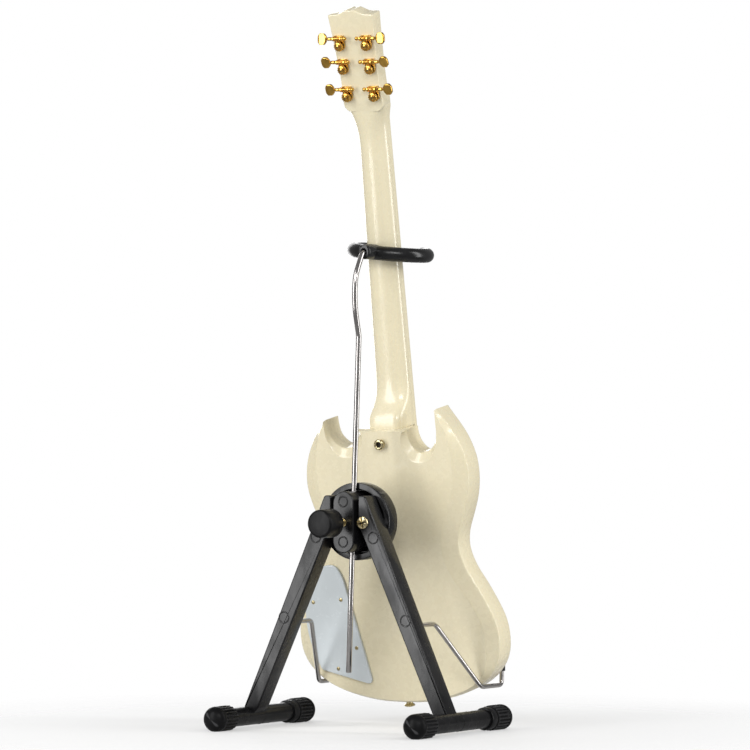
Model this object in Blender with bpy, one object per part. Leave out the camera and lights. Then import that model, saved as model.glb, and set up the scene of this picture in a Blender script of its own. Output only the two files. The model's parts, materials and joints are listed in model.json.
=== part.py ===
"""Miniature double-cutaway guitar, about a quarter of full size, resting on a folding A-frame stand.

Metres, +Z up. The face of the guitar looks towards -Y and the origin is on the floor under the
middle of the whole object. Left is -X and right is +X, as seen from the front.

Two frames hold the pieces. In the stand frame a point is (x, up, forward). In the guitar frame it
is (x, along, out): along runs up the guitar from where the plane of its back meets the floor, and
out runs from that plane towards the strings.
"""

import math

import bmesh
import bpy
from mathutils import Matrix, Vector

MM = 0.001
GAP = 0.3 * MM                       # between pieces that touch
BEARING = 0.1 * MM                   # round a shaft, rod or screw that moves in its hole
TAU = 2 * math.pi

# Guitar: how it leans, and its body
LEAN = math.radians(9)
BACK_AT_FLOOR = 38.9 * MM            # forward of the hub's mid plane
BODY_THICKNESS = 11.0 * MM
BODY_BOTTOM = 8.1 * MM
BODY_TOP = 108.5 * MM
BACK_BEVEL = 2.0 * MM
FRONT_BEVEL = 1.0 * MM

# Guitar: neck and headstock
NECK_TOP = 12.7 * MM
NECK_CROWN = 8.0 * MM
HEEL_BACK = 2.4 * MM
HEEL_HALF_WIDTH = 7.0 * MM
NUT_HALF_WIDTH = 5.6 * MM
NUT_ALONG = 222.0 * MM
SCALE_LENGTH = 157.8 * MM
FRETBOARD_THICKNESS = 1.6 * MM
HEAD_ANGLE = math.radians(8)
HEAD_THICKNESS = 6.0 * MM
HEAD_LENGTH = 37.3 * MM
HEAD_HALF_WIDTH = 7.7 * MM
HEAD_FLARE = 1.5 * MM

# Tuners
POST_ALONG = (7.15 * MM, 17.3 * MM, 26.0 * MM)
POST_X = 5.5 * MM
POST_RADIUS = 0.9 * MM
POST_HEIGHT = 3.6 * MM
GEAR_RADIUS = 1.8 * MM
WORM_OFFSET = 2.9 * MM
WORM_HEIGHT = 1.9 * MM
BUTTON_X_BASS = 12.2 * MM
BUTTON_X_TREBLE = 11.6 * MM
# Degrees each button is turned from standing along the headstock
BUTTON_TURNS = {
    "bass_1": -8, "bass_2": -16, "bass_3": 10, "treble_1": -4, "treble_2": -11, "treble_3": 17,
}

# Stand: hub, rod and yoke
HUB_HEIGHT = 74.9 * MM
DISH_RADIUS = 13.9 * MM
DISH_DEPTH = 6.5 * MM
DISH_WALL = 1.2 * MM
BLOCK_HALF_WIDTH = 4.3 * MM
BLOCK_HEIGHT = 22.0 * MM
BLOCK_PROUD = 1.0 * MM
ROD_RADIUS = 1.0 * MM
ROD_TILT = math.radians(3.4)
ROD_FORWARD = 2.5 * MM
ROD_BOTTOM = 21.0 * MM
YOKE_HEIGHT = 171.1 * MM
YOKE_RADIUS = 2.6 * MM
YOKE_HALF_WIDTH = 13.2 * MM
YOKE_HALF_DEPTH = 12.6 * MM
YOKE_ROLL = math.radians(5)
YOKE_OPENING = math.radians(29)
KNOB_LENGTH = 8.8 * MM
KNOB_RADIUS = 5.4 * MM
KNOB_SCREW_RADIUS = 1.6 * MM
KNOB_STANDOFF = 8.0 * MM

# Stand: legs, feet and body arms
LEG_ANGLE = math.radians(24.4)
LEG_WIDTH = 6.7 * MM
LEG_DEPTH = 7.7 * MM
LEG_TOP = 9.5 * MM                   # above the hub's axis
LEG_STOP_X = 5.5 * MM
LEG_OFFSET = 1.1 * MM                # leg's middle line outside the pivot, along X
PIVOT_X = 7.9 * MM
PIVOT_SCREW_RADIUS = 1.1 * MM
FOOT_CAP_RADIUS = 4.6 * MM
FOOT_FLAT = 0.2 * MM
FOOT_TUBE_RADIUS = 3.4 * MM
FOOT_REAR = 24.8 * MM
FOOT_FRONT = 37.2 * MM
FOOT_BAND = 8.8 * MM
FOOT_DOME = 3.5 * MM
ARM_RADIUS = 0.85 * MM
ARM_SHANK_UP = 38.4 * MM
ARM_SHANK_FORWARD = 16.5 * MM
ARM_CRADLE_X = 33.7 * MM
ARM_CRADLE_UP = 15.0 * MM
ARM_CRADLE_START = 36.0 * MM
ARM_CRADLE_END = 51.4 * MM
ARM_TIP_UP = 20.0 * MM
ARM_TIP_LENGTH = 3.6 * MM
ARM_TIP_RADIUS = 1.3 * MM

FOOT_AXIS = FOOT_CAP_RADIUS - FOOT_FLAT
BOX_FRONT = ARM_CRADLE_END + ARM_TIP_RADIUS
BOX_REAR = FOOT_REAR + FOOT_DOME
CENTRE_Y = (BOX_FRONT - BOX_REAR) / 2

for leftover in list(bpy.data.objects):
    bpy.data.objects.remove(leftover)

PARTS = bpy.data.collections.new("guitar_on_stand")
CUTTERS = bpy.data.collections.new("cutters")
for group in (PARTS, CUTTERS):
    bpy.context.scene.collection.children.link(group)


# Materials

def finish(name, colour, roughness, metallic=0.0):
    material = bpy.data.materials.new(name)
    material.use_nodes = True
    shader = material.node_tree.nodes["Principled BSDF"]
    shader.inputs["Base Color"].default_value = (*colour, 1)
    shader.inputs["Roughness"].default_value = roughness
    shader.inputs["Metallic"].default_value = metallic
    material.diffuse_color = (*colour, 1)
    return material


CREAM = finish("cream_lacquer", (0.83, 0.75, 0.54), 0.12)
GOLD = finish("gold_plate", (0.83, 0.60, 0.26), 0.25, 1)
BRASS = finish("brass", (0.72, 0.55, 0.28), 0.35, 1)
STEEL = finish("bright_steel", (0.62, 0.61, 0.60), 0.2, 1)
BLACK = finish("black_plastic", (0.035, 0.035, 0.037), 0.45)
RUBBER = finish("black_rubber", (0.03, 0.03, 0.03), 0.65)
PALE = finish("pale_plastic", (0.66, 0.71, 0.73), 0.3)
DARK_WOOD = finish("dark_fretboard", (0.06, 0.035, 0.02), 0.5)
BONE = finish("bone_plastic", (0.85, 0.82, 0.72), 0.4)


# Building blocks

def frame(name, location, turn, parent=None):
    """An empty turned about X that holds pieces in its own (x, along, out) axes."""
    empty = bpy.data.objects.new(name, None)
    empty.location = location
    empty.rotation_euler = (turn, 0, 0)
    empty.parent = parent
    PARTS.objects.link(empty)
    return empty


def place(name, data, material, parent, at=(0, 0, 0), collection=PARTS):
    obj = bpy.data.objects.new(name, data)
    if material:
        data.materials.append(material)
    obj.parent = parent
    obj.location = at
    collection.objects.link(obj)
    return obj


def shade(mesh):
    mesh.shade_smooth()
    mesh.set_sharp_from_angle(angle=math.radians(35))


def face_outwards(work):
    bmesh.ops.recalc_face_normals(work, faces=work.faces)
    if work.calc_volume(signed=True) < 0:
        bmesh.ops.reverse_faces(work, faces=work.faces)


def curve_mesh(obj):
    """The mesh object that a curve object makes, in the curve's place and under its name."""
    bpy.context.view_layer.update()
    graph = bpy.context.evaluated_depsgraph_get()
    mesh = bpy.data.meshes.new_from_object(obj.evaluated_get(graph))
    work = bmesh.new()
    work.from_mesh(mesh)
    bmesh.ops.remove_doubles(work, verts=work.verts, dist=1e-6)
    bmesh.ops.dissolve_degenerate(work, edges=work.edges, dist=1e-7)
    face_outwards(work)
    work.to_mesh(mesh)
    work.free()
    shade(mesh)
    name, parent, matrix = obj.name, obj.parent, obj.matrix_world.copy()
    collection = obj.users_collection[0]
    bpy.data.objects.remove(obj)
    made = bpy.data.objects.new(name, mesh)
    collection.objects.link(made)
    made.parent = parent
    made.matrix_world = matrix
    return made


def plate(name, outline, back, front, material, parent, edge=0.0, at=(0, 0, 0), collection=PARTS):
    """A flat outline given thickness from back to front, with rounded edges of radius edge."""
    curve = bpy.data.curves.new(name, "CURVE")
    curve.dimensions = "2D"
    curve.fill_mode = "BOTH"
    curve.extrude = (front - back) / 2 - edge
    curve.bevel_depth = edge
    curve.bevel_resolution = 1
    curve.offset = -edge
    spline = curve.splines.new("POLY")
    spline.points.add(len(outline) - 1)
    for point, (x, up) in zip(spline.points, outline):
        point.co = (x, up, 0, 1)
    spline.use_cyclic_u = True
    x, up, out = at
    made = place(name, curve, material, parent, (x, up, out + (front + back) / 2), collection)
    return curve_mesh(made)


def wire(name, points, radius, material, parent, sides=2):
    """A round wire through points, each given as (x, up, forward)."""
    curve = bpy.data.curves.new(name, "CURVE")
    curve.dimensions = "3D"
    curve.bevel_depth = radius
    curve.bevel_resolution = sides
    curve.use_fill_caps = True
    spline = curve.splines.new("POLY")
    spline.points.add(len(points) - 1)
    for point, place_of in zip(spline.points, points):
        point.co = (*place_of, 1)
    return curve_mesh(place(name, curve, material, parent))


def turned(name, profile, material, parent, at=(0, 0, 0), axis=(0, 0, 1), steps=24, collection=PARTS):
    """A closed profile of (radius, height) pairs, down its outer side, turned round axis."""
    mesh = bpy.data.meshes.new(name)
    work = bmesh.new()
    line = [work.verts.new((radius, 0, height)) for radius, height in profile]
    for first, second in zip(line, line[1:]):
        work.edges.new((first, second))
    bmesh.ops.spin(
        work, geom=list(work.verts) + list(work.edges), axis=(0, 0, 1), cent=(0, 0, 0),
        steps=steps, angle=TAU, use_merge=True,
    )
    bmesh.ops.remove_doubles(work, verts=work.verts, dist=1e-6)
    face_outwards(work)
    work.to_mesh(mesh)
    work.free()
    shade(mesh)
    obj = place(name, mesh, material, parent, at, collection)
    obj.rotation_euler = Vector(axis).to_track_quat("Z", "Y").to_euler()
    return obj


def rod(name, radius, low, high, material, parent, at=(0, 0, 0), axis=(0, 0, 1), steps=20,
        collection=PARTS):
    profile = [(0, high), (radius, high), (radius, low), (0, low)]
    return turned(name, profile, material, parent, at, axis, steps, collection)


def loft(name, rings, material, parent):
    """A solid through closed rings of points, all with the same number of points."""
    mesh = bpy.data.meshes.new(name)
    work = bmesh.new()
    rows = [[work.verts.new(point) for point in ring] for ring in rings]
    count = len(rings[0])
    for low, high in zip(rows, rows[1:]):
        for i in range(count):
            j = (i + 1) % count
            work.faces.new((low[i], low[j], high[j], high[i]))
    work.faces.new(rows[0])
    work.faces.new(rows[-1])
    bmesh.ops.remove_doubles(work, verts=work.verts, dist=1e-7)
    face_outwards(work)
    work.to_mesh(mesh)
    work.free()
    shade(mesh)
    return place(name, mesh, material, parent)


def helper(obj):
    """Marks an object as one that cuts or joins others and is no piece itself."""
    obj.hide_render = True
    obj.display_type = "WIRE"
    return obj


def combine(obj, other, operation):
    modifier = obj.modifiers.new(operation.lower(), "BOOLEAN")
    modifier.operation = operation
    modifier.solver = "EXACT"
    modifier.object = helper(other)


def smooth_path(points, steps):
    """Points along a smooth curve through the given ones, of any number of coordinates."""
    ends = [points[0]] + list(points) + [points[-1]]
    path = []
    for before, start, end, after in zip(ends, ends[1:], ends[2:], ends[3:]):
        for step in range(steps):
            t = step / steps
            path.append(tuple(
                0.5 * (2 * b + (c - a) * t + (2 * a - 5 * b + 4 * c - d) * t * t
                       + (3 * b - a - 3 * c + d) * t ** 3)
                for a, b, c, d in zip(before, start, end, after)
            ))
    path.append(tuple(points[-1]))
    return path


def scaled(points):
    return [tuple(value * MM for value in point) for point in points]


def rounded_box(half_x, half_y, radius, centre=(0, 0), corner_steps=3):
    """The outline of a rectangle with round corners."""
    outline = []
    for quarter, (sx, sy) in enumerate(((1, 1), (-1, 1), (-1, -1), (1, -1))):
        for step in range(corner_steps + 1):
            angle = (quarter + step / corner_steps) * TAU / 4
            outline.append((
                centre[0] + sx * (half_x - radius) + radius * math.cos(angle),
                centre[1] + sy * (half_y - radius) + radius * math.sin(angle),
            ))
    return outline


def rounded_corners(points, steps=4):
    """An outline with each (x, up, radius) corner replaced by an arc-like curve."""
    outline = []
    for i, (x, up, radius) in enumerate(points):
        here = Vector((x, up))
        before = Vector(points[i - 1][:2]) - here
        after = Vector(points[(i + 1) % len(points)][:2]) - here
        start = here + before.normalized() * radius
        end = here + after.normalized() * radius
        for step in range(steps + 1):
            t = step / steps
            point = start * (1 - t) ** 2 + here * 2 * t * (1 - t) + end * t * t
            outline.append(tuple(point))
    return outline


STAND = frame("stand_frame", (0, CENTRE_Y, 0), math.pi / 2)
GUITAR = frame("guitar_frame", (0, CENTRE_Y - BACK_AT_FLOOR, 0), math.pi / 2 - LEAN)


def back_forward(up, out):
    """How far forward a point of the guitar at this height and distance out from its back is."""
    return BACK_AT_FLOOR - up * math.tan(LEAN) + out / math.cos(LEAN)


# Guitar body

BOUT = [
    (0, 8.1, 1.0), (10, 8.5, 1.0), (21.5, 10.8, 1.0), (30.5, 14.3, 1.2), (36.5, 18.9, 2.2),
    (40.2, 24.5, 4.2), (41.4, 31, 5.3), (40.6, 38, 5.3), (38.0, 44.3, 5.2), (34.2, 51.2, 5.6),
    (30.0, 58, 6.2), (27.8, 64.5, 6.6), (28.2, 70.5, 6.6), (30.6, 77, 6.4), (32.9, 84, 6.2),
]
BASS_HORN = [(33.8, 91, 5.9), (33.2, 98, 5.2), (30.6, 105, 3.6), (26.9, 110.8, 1.6), (22.6, 116.2, 0.3)]
BASS_CUT = [
    (22.6, 116.2, 0.3), (22.5, 111.5, 0.4), (22.2, 107.5, 0.8), (20.7, 103.2, 1.6),
    (17.5, 100.6, 3.2), (14.0, 100.4, 3.6), (11.4, 102.8, 3.2), (10.1, 106, 2.4), (9.8, 108.5, 0.5),
]
TREBLE_HORN = [(33.5, 90, 5.8), (32.4, 97, 4.8), (29.6, 103.5, 3.2), (26.8, 107.6, 1.6), (23.4, 111.7, 0.3)]
TREBLE_CUT = [
    (23.4, 111.7, 0.3), (23.0, 108.5, 0.4), (22.0, 105.5, 1.0), (19.6, 102.9, 2.2),
    (16.5, 101.5, 3.2), (13.2, 102.0, 3.4), (11.1, 104.2, 3.0), (10.0, 106.6, 2.2), (9.8, 108.5, 0.5),
]


def body_outline():
    """(x, along, bevel width) round the body, from the bottom up the treble side and back down."""
    treble = smooth_path(BOUT + TREBLE_HORN, 2)[:-1] + smooth_path(TREBLE_CUT, 2)
    bass = smooth_path(BOUT + BASS_HORN, 2)[:-1] + smooth_path(BASS_CUT, 2)
    around = treble + [(-x, along, bevel) for x, along, bevel in reversed(bass)][:-1]
    return scaled(around)


def inset(outline, width_of):
    """The outline moved inwards by width_of(point) at each point, square to both of its edges."""
    moved = []
    for i, point in enumerate(outline):
        here = Vector(point[:2])
        start = (here - Vector(outline[i - 1][:2])).normalized()
        end = (Vector(outline[(i + 1) % len(outline)][:2]) - here).normalized()
        run = (start + end).normalized()
        reach = min(width_of(point) / max(run.dot(start), 0.1), 1.5 * width_of(point))
        moved.append((here.x - run.y * reach, here.y + run.x * reach))
    return moved


def guitar_body():
    outline = body_outline()
    rim = [(x, along) for x, along, _ in outline]
    back = inset(outline, lambda point: point[2])
    front = inset(outline, lambda point: min(FRONT_BEVEL, 0.8 * point[2]))
    layers = [(back, 0), (rim, BACK_BEVEL), (rim, BODY_THICKNESS - FRONT_BEVEL), (front, BODY_THICKNESS)]
    rings = [[(x, along, out) for x, along in ring] for ring, out in layers]
    loft("guitar_body", rings, CREAM, GUITAR)


# Neck and headstock

HEAD_BACK_OUT = NECK_TOP - HEAD_THICKNESS
HEAD = frame("headstock_frame", (0, NUT_ALONG, HEAD_BACK_OUT), -HEAD_ANGLE, GUITAR)


def half_width_at(along):
    """Half the width of neck and fretboard, tapering from heel to nut."""
    share = (along - BODY_TOP) / (NUT_ALONG - BODY_TOP)
    return HEEL_HALF_WIDTH + (NUT_HALF_WIDTH - HEEL_HALF_WIDTH) * share


def neck_ring(along, crown, squareness, widen=0.0, top=NECK_TOP, segments=16):
    """A neck section: flat under the fretboard, round behind, squarer as squareness rises."""
    half = half_width_at(along) + widen
    ring = []
    for step in range(segments + 1):
        angle = math.pi * step / segments
        power = 2 / (2 + squareness)
        x = math.copysign(abs(math.cos(angle)) ** power, math.cos(angle)) * half
        out = top - math.sin(angle) ** power * (top - crown)
        ring.append((x, along, out))
    return ring


def headstock_outline():
    left = [
        (NUT_HALF_WIDTH + 0.6 * MM, 1.5 * MM), (HEAD_HALF_WIDTH - 0.4 * MM, 2.3 * MM),
        (HEAD_HALF_WIDTH + 0.25 * MM, 3.4 * MM), (HEAD_HALF_WIDTH + 0.3 * MM, 6 * MM),
        (HEAD_HALF_WIDTH, 11 * MM), (HEAD_HALF_WIDTH + HEAD_FLARE * 0.3, HEAD_LENGTH * 0.6),
        (HEAD_HALF_WIDTH + HEAD_FLARE, HEAD_LENGTH - 0.8 * MM),
    ]
    top = [
        (HEAD_HALF_WIDTH + HEAD_FLARE - 0.6 * MM, HEAD_LENGTH), (5.6 * MM, HEAD_LENGTH - 0.1 * MM),
        (2.6 * MM, HEAD_LENGTH + 1.4 * MM), (1.2 * MM, HEAD_LENGTH + 1.9 * MM),
        (0, HEAD_LENGTH + 1.5 * MM),
    ]
    half = smooth_path(left, 2) + smooth_path(top, 2)
    return half + [(-x, along) for x, along in reversed(half[:-1])]


def post_places():
    """(name, x, along, side) of each tuner post on the headstock."""
    for side, sign in (("bass", -1), ("treble", 1)):
        for number, along in enumerate(POST_ALONG):
            yield f"{side}_{number + 1}", sign * POST_X, along, sign


def neck():
    heel_end = BODY_TOP + GAP
    sections = [
        neck_ring(heel_end, HEEL_BACK, 4), neck_ring(heel_end + 3.4 * MM, HEEL_BACK + 0.1 * MM, 4),
        neck_ring(heel_end + 6 * MM, HEEL_BACK + 1.4 * MM, 2.5),
        neck_ring(heel_end + 9 * MM, HEEL_BACK + 4.0 * MM, 1),
        neck_ring(heel_end + 12.5 * MM, NECK_CROWN - 0.2 * MM, 0.2),
        neck_ring(heel_end + 17 * MM, NECK_CROWN, 0), neck_ring(NUT_ALONG - 12 * MM, NECK_CROWN, 0),
        neck_ring(NUT_ALONG - 8 * MM, NECK_CROWN - 0.2 * MM, 0.15, 0.2 * MM),
        neck_ring(NUT_ALONG - 5 * MM, HEAD_BACK_OUT + 0.85 * MM, 0.35, 0.5 * MM),
        neck_ring(NUT_ALONG - 2.5 * MM, HEAD_BACK_OUT + 0.4 * MM, 0.7, 0.95 * MM),
        neck_ring(NUT_ALONG - 0.2 * MM, HEAD_BACK_OUT + 0.1 * MM, 1.3, 1.4 * MM, NECK_TOP - 0.1 * MM),
        neck_ring(NUT_ALONG + 1.6 * MM, HEAD_BACK_OUT - 0.15 * MM, 2.2, 1.9 * MM, NECK_TOP - 0.3 * MM),
        neck_ring(NUT_ALONG + 3.2 * MM, HEAD_BACK_OUT - 0.36 * MM, 4, 2.3 * MM, NECK_TOP - 0.55 * MM),
        neck_ring(NUT_ALONG + 4.6 * MM, HEAD_BACK_OUT - 0.5 * MM, 6, 2.0 * MM, NECK_TOP - 0.8 * MM),
    ]
    made = loft("neck", sections, CREAM, GUITAR)
    head = plate("headstock_blank", headstock_outline(), 0, HEAD_THICKNESS, None, HEAD,
                 0.3 * MM, collection=CUTTERS)
    combine(made, head, "UNION")
    tongue = plate(
        "neck_tongue", [(6.6 * MM, 0), (6.6 * MM, 5 * MM), (-6.6 * MM, 5 * MM), (-6.6 * MM, 0)],
        BODY_THICKNESS + GAP, NECK_TOP, None, GUITAR, at=(0, BODY_TOP - 4 * MM, 0), collection=CUTTERS,
    )
    combine(made, tongue, "UNION")
    for name, x, along, _ in post_places():
        hole = rod(f"post_hole_{name}", POST_RADIUS + 0.2 * MM, -2 * MM, HEAD_THICKNESS + 2 * MM,
                   None, HEAD, (x, along, 0), steps=12, collection=CUTTERS)
        combine(made, hole, "DIFFERENCE")


def fretboard():
    start = BODY_TOP - 3.6 * MM
    end = NUT_ALONG - 0.8 * MM
    low, high = half_width_at(start), half_width_at(end)
    outline = [(-low, start), (low, start), (high, end), (-high, end)]
    plate("fretboard", outline, NECK_TOP + GAP, NECK_TOP + GAP + FRETBOARD_THICKNESS, DARK_WOOD, GUITAR,
          0.15 * MM)


def nut():
    outline = rounded_box(NUT_HALF_WIDTH, 0.7 * MM, 0.2 * MM, (0, NUT_ALONG + 0.2 * MM))
    plate("nut", outline, NECK_TOP + GAP, NECK_TOP + FRETBOARD_THICKNESS + 1.0 * MM, BONE, GUITAR)


def truss_rod_cover():
    outline = rounded_corners(scaled([(-2.4, 2.6, 0.8), (2.4, 2.6, 0.8), (1.3, 10.6, 0.9), (-1.3, 10.6, 0.9)]))
    plate("truss_rod_cover", outline, HEAD_THICKNESS + GAP, HEAD_THICKNESS + GAP + 0.7 * MM, PALE, HEAD)


# Tuners: a base plate with two bearings, a worm shaft with its button, and a gear with its post

def tuner(name, x, along, sign):
    base = plate(
        f"tuner_plate_{name}", rounded_box(1.9 * MM, 2.85 * MM, 0.9 * MM), -GAP - 0.5 * MM, -GAP, GOLD, HEAD,
        at=(x, along + 0.95 * MM, 0),
    )
    hole = rod(f"plate_hole_{name}", POST_RADIUS + 0.2 * MM, -2 * MM, 2 * MM, None, HEAD, (x, along, 0),
               steps=12, collection=CUTTERS)
    combine(base, hole, "DIFFERENCE")
    for end in (-1, 1):
        bearing = plate(
            f"bearing_{name}_{end}", rounded_box(0.3 * MM, 0.9 * MM, 0.2 * MM), -WORM_HEIGHT - 0.9 * MM,
            -GAP - 0.2 * MM, None, HEAD, at=(x + end * 1.5 * MM, along + WORM_OFFSET, 0), collection=CUTTERS,
        )
        combine(base, bearing, "UNION")
    bore = rod(f"bore_{name}", 0.6 * MM, -4 * MM, 4 * MM, None, HEAD,
               (x, along + WORM_OFFSET, -WORM_HEIGHT), (1, 0, 0), 12, CUTTERS)
    combine(base, bore, "DIFFERENCE")

    reach = (BUTTON_X_TREBLE if sign > 0 else BUTTON_X_BASS) - POST_X
    turn = math.radians(BUTTON_TURNS[name] - 90)
    thick = 0.75 * MM
    shaft = scaled([
        (-3.5, 0.4, 0.4), (-3.3, 0.72, 0.72), (-2.8, 0.72, 0.72), (-2.6, 0.47, 0.47), (-1.2, 0.47, 0.47),
        (-1.1, 0.75, 0.75), (1.1, 0.75, 0.75), (1.2, 0.47, 0.47),
    ])
    button = [
        (reach - 1.7 * MM, 0.47 * MM, 0.47 * MM), (reach - 1.6 * MM, thick * 0.8, 1.0 * MM),
        (reach - 0.8 * MM, thick, 2.1 * MM), (reach + 0.8 * MM, thick, 2.1 * MM),
        (reach + 1.5 * MM, thick, 1.3 * MM), (reach + 1.7 * MM, thick * 0.7, 1.0 * MM),
    ]
    rings = []
    for across, half_thick, half_high in shaft + button:
        square = half_high > 0.9 * MM
        ring = []
        for step in range(12):
            angle = TAU * (step + 0.5) / 12
            power = 0.45 if square else 1
            a = math.copysign(abs(math.cos(angle)) ** power, math.cos(angle)) * half_thick
            b = math.copysign(abs(math.sin(angle)) ** power, math.sin(angle)) * half_high
            ring.append((
                sign * across, a * math.cos(turn) - b * math.sin(turn), a * math.sin(turn) + b * math.cos(turn),
            ))
        rings.append(ring)
    worm = loft(f"tuner_worm_{name}", rings, GOLD, HEAD)
    worm.location = (x, along + WORM_OFFSET, -WORM_HEIGHT)

    top = HEAD_THICKNESS + POST_HEIGHT
    profile = [(0, top), (POST_RADIUS * 0.8, top), (POST_RADIUS, top - 0.2 * MM)] + [
        (POST_RADIUS, -1.3 * MM), (GEAR_RADIUS, -1.4 * MM), (GEAR_RADIUS, -2.3 * MM),
        (GEAR_RADIUS - 0.35 * MM, -2.6 * MM),
        (0, -2.6 * MM),
    ]
    turned(f"tuner_post_{name}", profile, GOLD, HEAD, (x, along, 0), steps=12)


# Hardware on the guitar

def pickguard():
    outline = rounded_corners(scaled([
        (10.8, 63, 2.0), (17.5, 60.5, 3.5), (22.0, 68, 4.0), (24.0, 88, 5.0), (19.5, 99.5, 3.0), (10.8, 97, 2.0),
    ]))
    plate("pickguard", outline, BODY_THICKNESS + GAP, BODY_THICKNESS + GAP + 0.6 * MM, PALE, GUITAR)


def pickup(name, along):
    ring = plate(f"pickup_{name}", rounded_box(10.3 * MM, 5.6 * MM, 0.8 * MM), BODY_THICKNESS + GAP,
                 BODY_THICKNESS + 1.3 * MM, GOLD, GUITAR, at=(0, along, 0))
    cover = plate(f"pickup_cover_{name}", rounded_box(8.6 * MM, 4.5 * MM, 0.9 * MM), BODY_THICKNESS + 0.8 * MM,
                  BODY_THICKNESS + 2.9 * MM, None, GUITAR, 0.3 * MM, (0, along, 0), CUTTERS)
    combine(ring, cover, "UNION")


def studded_bar(name, along, half_length, half_width, low, high, stud_x):
    bar = plate(name, rounded_box(half_length, half_width, half_width * 0.8), low, high, GOLD, GUITAR,
                0.3 * MM, (0, along, 0))
    for side in (-1, 1):
        stud = rod(f"{name}_stud_{side}", 1.0 * MM, BODY_THICKNESS + GAP, low + 0.8 * MM, None, GUITAR,
                   (side * stud_x, along, 0), steps=16, collection=CUTTERS)
        combine(bar, stud, "UNION")


COVER_SCREWS = [(33.1, 44.8), (21.4, 46.0), (16.4, 28.3), (24.7, 20.4)]
COVER_THICKNESS = 0.8 * MM


def control_cover():
    outline = rounded_corners(scaled([
        (10.6, 14.6, 3.2), (20.0, 54.0, 2.5), (22.6, 58.6, 2.4), (28.4, 58.6, 3.0), (36.6, 46.0, 6.0),
        (36.8, 33.0, 6.0), (31.8, 19.8, 1.2),
    ]), 5)
    cover = plate("control_cover", outline, -GAP - COVER_THICKNESS, -GAP, PALE, GUITAR, 0.15 * MM)
    for number, (x, along) in enumerate(scaled(COVER_SCREWS), 1):
        hole = rod(f"cover_hole_{number}", 0.45 * MM, -2 * MM, 1 * MM, None, GUITAR, (x, along, 0), steps=10,
                   collection=CUTTERS)
        combine(cover, hole, "DIFFERENCE")
        face = -GAP - COVER_THICKNESS
        profile = [
            (0, -GAP), (0.3 * MM, -GAP), (0.3 * MM, face - GAP / 2), (0.62 * MM, face - GAP / 2),
            (0.45 * MM, face - 0.45 * MM), (0, face - 0.6 * MM),
        ]
        turned(f"cover_screw_{number}", profile, BRASS, GUITAR, (x, along, 0), steps=12)


def strap_button(name, at, axis):
    profile = scaled([
        (0, 2.3), (0.9, 2.3), (1.9, 2.1), (2.0, 1.8), (1.2, 1.3), (1.15, 0.9), (1.6, 0.3), (0, 0.3),
    ])
    turned(name, profile, GOLD, GUITAR, at, axis, 20)


CONTROL_KNOBS = [
    ("volume_neck", 19.5, 45.5), ("volume_bridge", 30.0, 42.5), ("tone_neck", 17.5, 31.5), ("tone_bridge", 28.5, 28.0),
]


def control_knob(name, x, along):
    profile = scaled([(0, 3.6), (2.0, 3.6), (2.2, 3.4), (2.6, 0.6), (2.6, 0.3), (0, 0.3)])
    turned(f"knob_{name}", profile, GOLD, GUITAR, (x * MM, along * MM, BODY_THICKNESS), steps=20)


TOGGLE_AT = (24.5 * MM, 56.5 * MM)


def toggle_switch():
    base = turned("toggle_base", scaled([
        (0.75, 0.3), (0.75, 1.6), (1.5, 1.6), (1.6, 1.3), (1.6, 0.9), (2.2, 0.8), (2.2, 0.3), (0.75, 0.3),
    ]), GOLD, GUITAR, (*TOGGLE_AT, BODY_THICKNESS), steps=18)
    turned("toggle_lever", scaled([
        (0, 5.2), (0.6, 5.1), (0.85, 4.5), (0.75, 3.6), (0.4, 3.2), (0.35, 1.0), (0, 0.9),
    ]), BONE, GUITAR, (*TOGGLE_AT, BODY_THICKNESS), steps=12)
    return base


def output_jack():
    turned("output_jack", scaled([
        (0.8, 0.3), (0.8, 1.7), (1.6, 1.7), (1.7, 1.5), (1.7, 0.9), (2.4, 0.8), (2.4, 0.3), (0.8, 0.3),
    ]), GOLD, GUITAR, (22.0 * MM, 18.0 * MM, BODY_THICKNESS), steps=18)


# Stand: hub, clamp and knob

LEG_FRONT = LEG_DEPTH / 2
DISH_RIM = LEG_FRONT + GAP
DISH_FACE = DISH_RIM + DISH_DEPTH
DISH_FLOOR = DISH_FACE - 1.4 * MM
BLOCK_BACK = -LEG_FRONT - BLOCK_PROUD


def rod_forward(up):
    """How far forward the straight part of the neck rod is at this height."""
    return ROD_FORWARD + (up - HUB_HEIGHT) * math.tan(ROD_TILT)


def rod_cutter(name, clearance):
    direction = (0, math.cos(ROD_TILT), math.sin(ROD_TILT))
    return rod(name, ROD_RADIUS + clearance, -BLOCK_HEIGHT, BLOCK_HEIGHT, None, STAND,
               (0, HUB_HEIGHT, ROD_FORWARD), direction, 16, CUTTERS)


def hub_dish():
    inner = DISH_RADIUS - DISH_WALL
    profile = [
        (0, DISH_FACE), (DISH_RADIUS - 0.6 * MM, DISH_FACE), (DISH_RADIUS, DISH_FACE - 0.6 * MM),
        (DISH_RADIUS, DISH_RIM), (inner, DISH_RIM), (inner, DISH_FLOOR), (0, DISH_FLOOR),
    ]
    dish = turned("hub_dish", profile, BLACK, STAND, (0, HUB_HEIGHT, 0), steps=48)
    for side in (-1, 1):
        boss = rod(f"boss_{side}", 2.6 * MM, DISH_RIM, DISH_FLOOR + 0.5 * MM, None, STAND,
                   (side * PIVOT_X, HUB_HEIGHT, 0), collection=CUTTERS)
        combine(dish, boss, "UNION")
        hole = rod(f"boss_hole_{side}", PIVOT_SCREW_RADIUS + GAP, DISH_RIM - 1 * MM, DISH_FLOOR, None, STAND,
                   (side * PIVOT_X, HUB_HEIGHT, 0), steps=16, collection=CUTTERS)
        combine(dish, hole, "DIFFERENCE")
    combine(dish, rod_cutter("rim_notch", 0.5 * MM), "DIFFERENCE")


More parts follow.
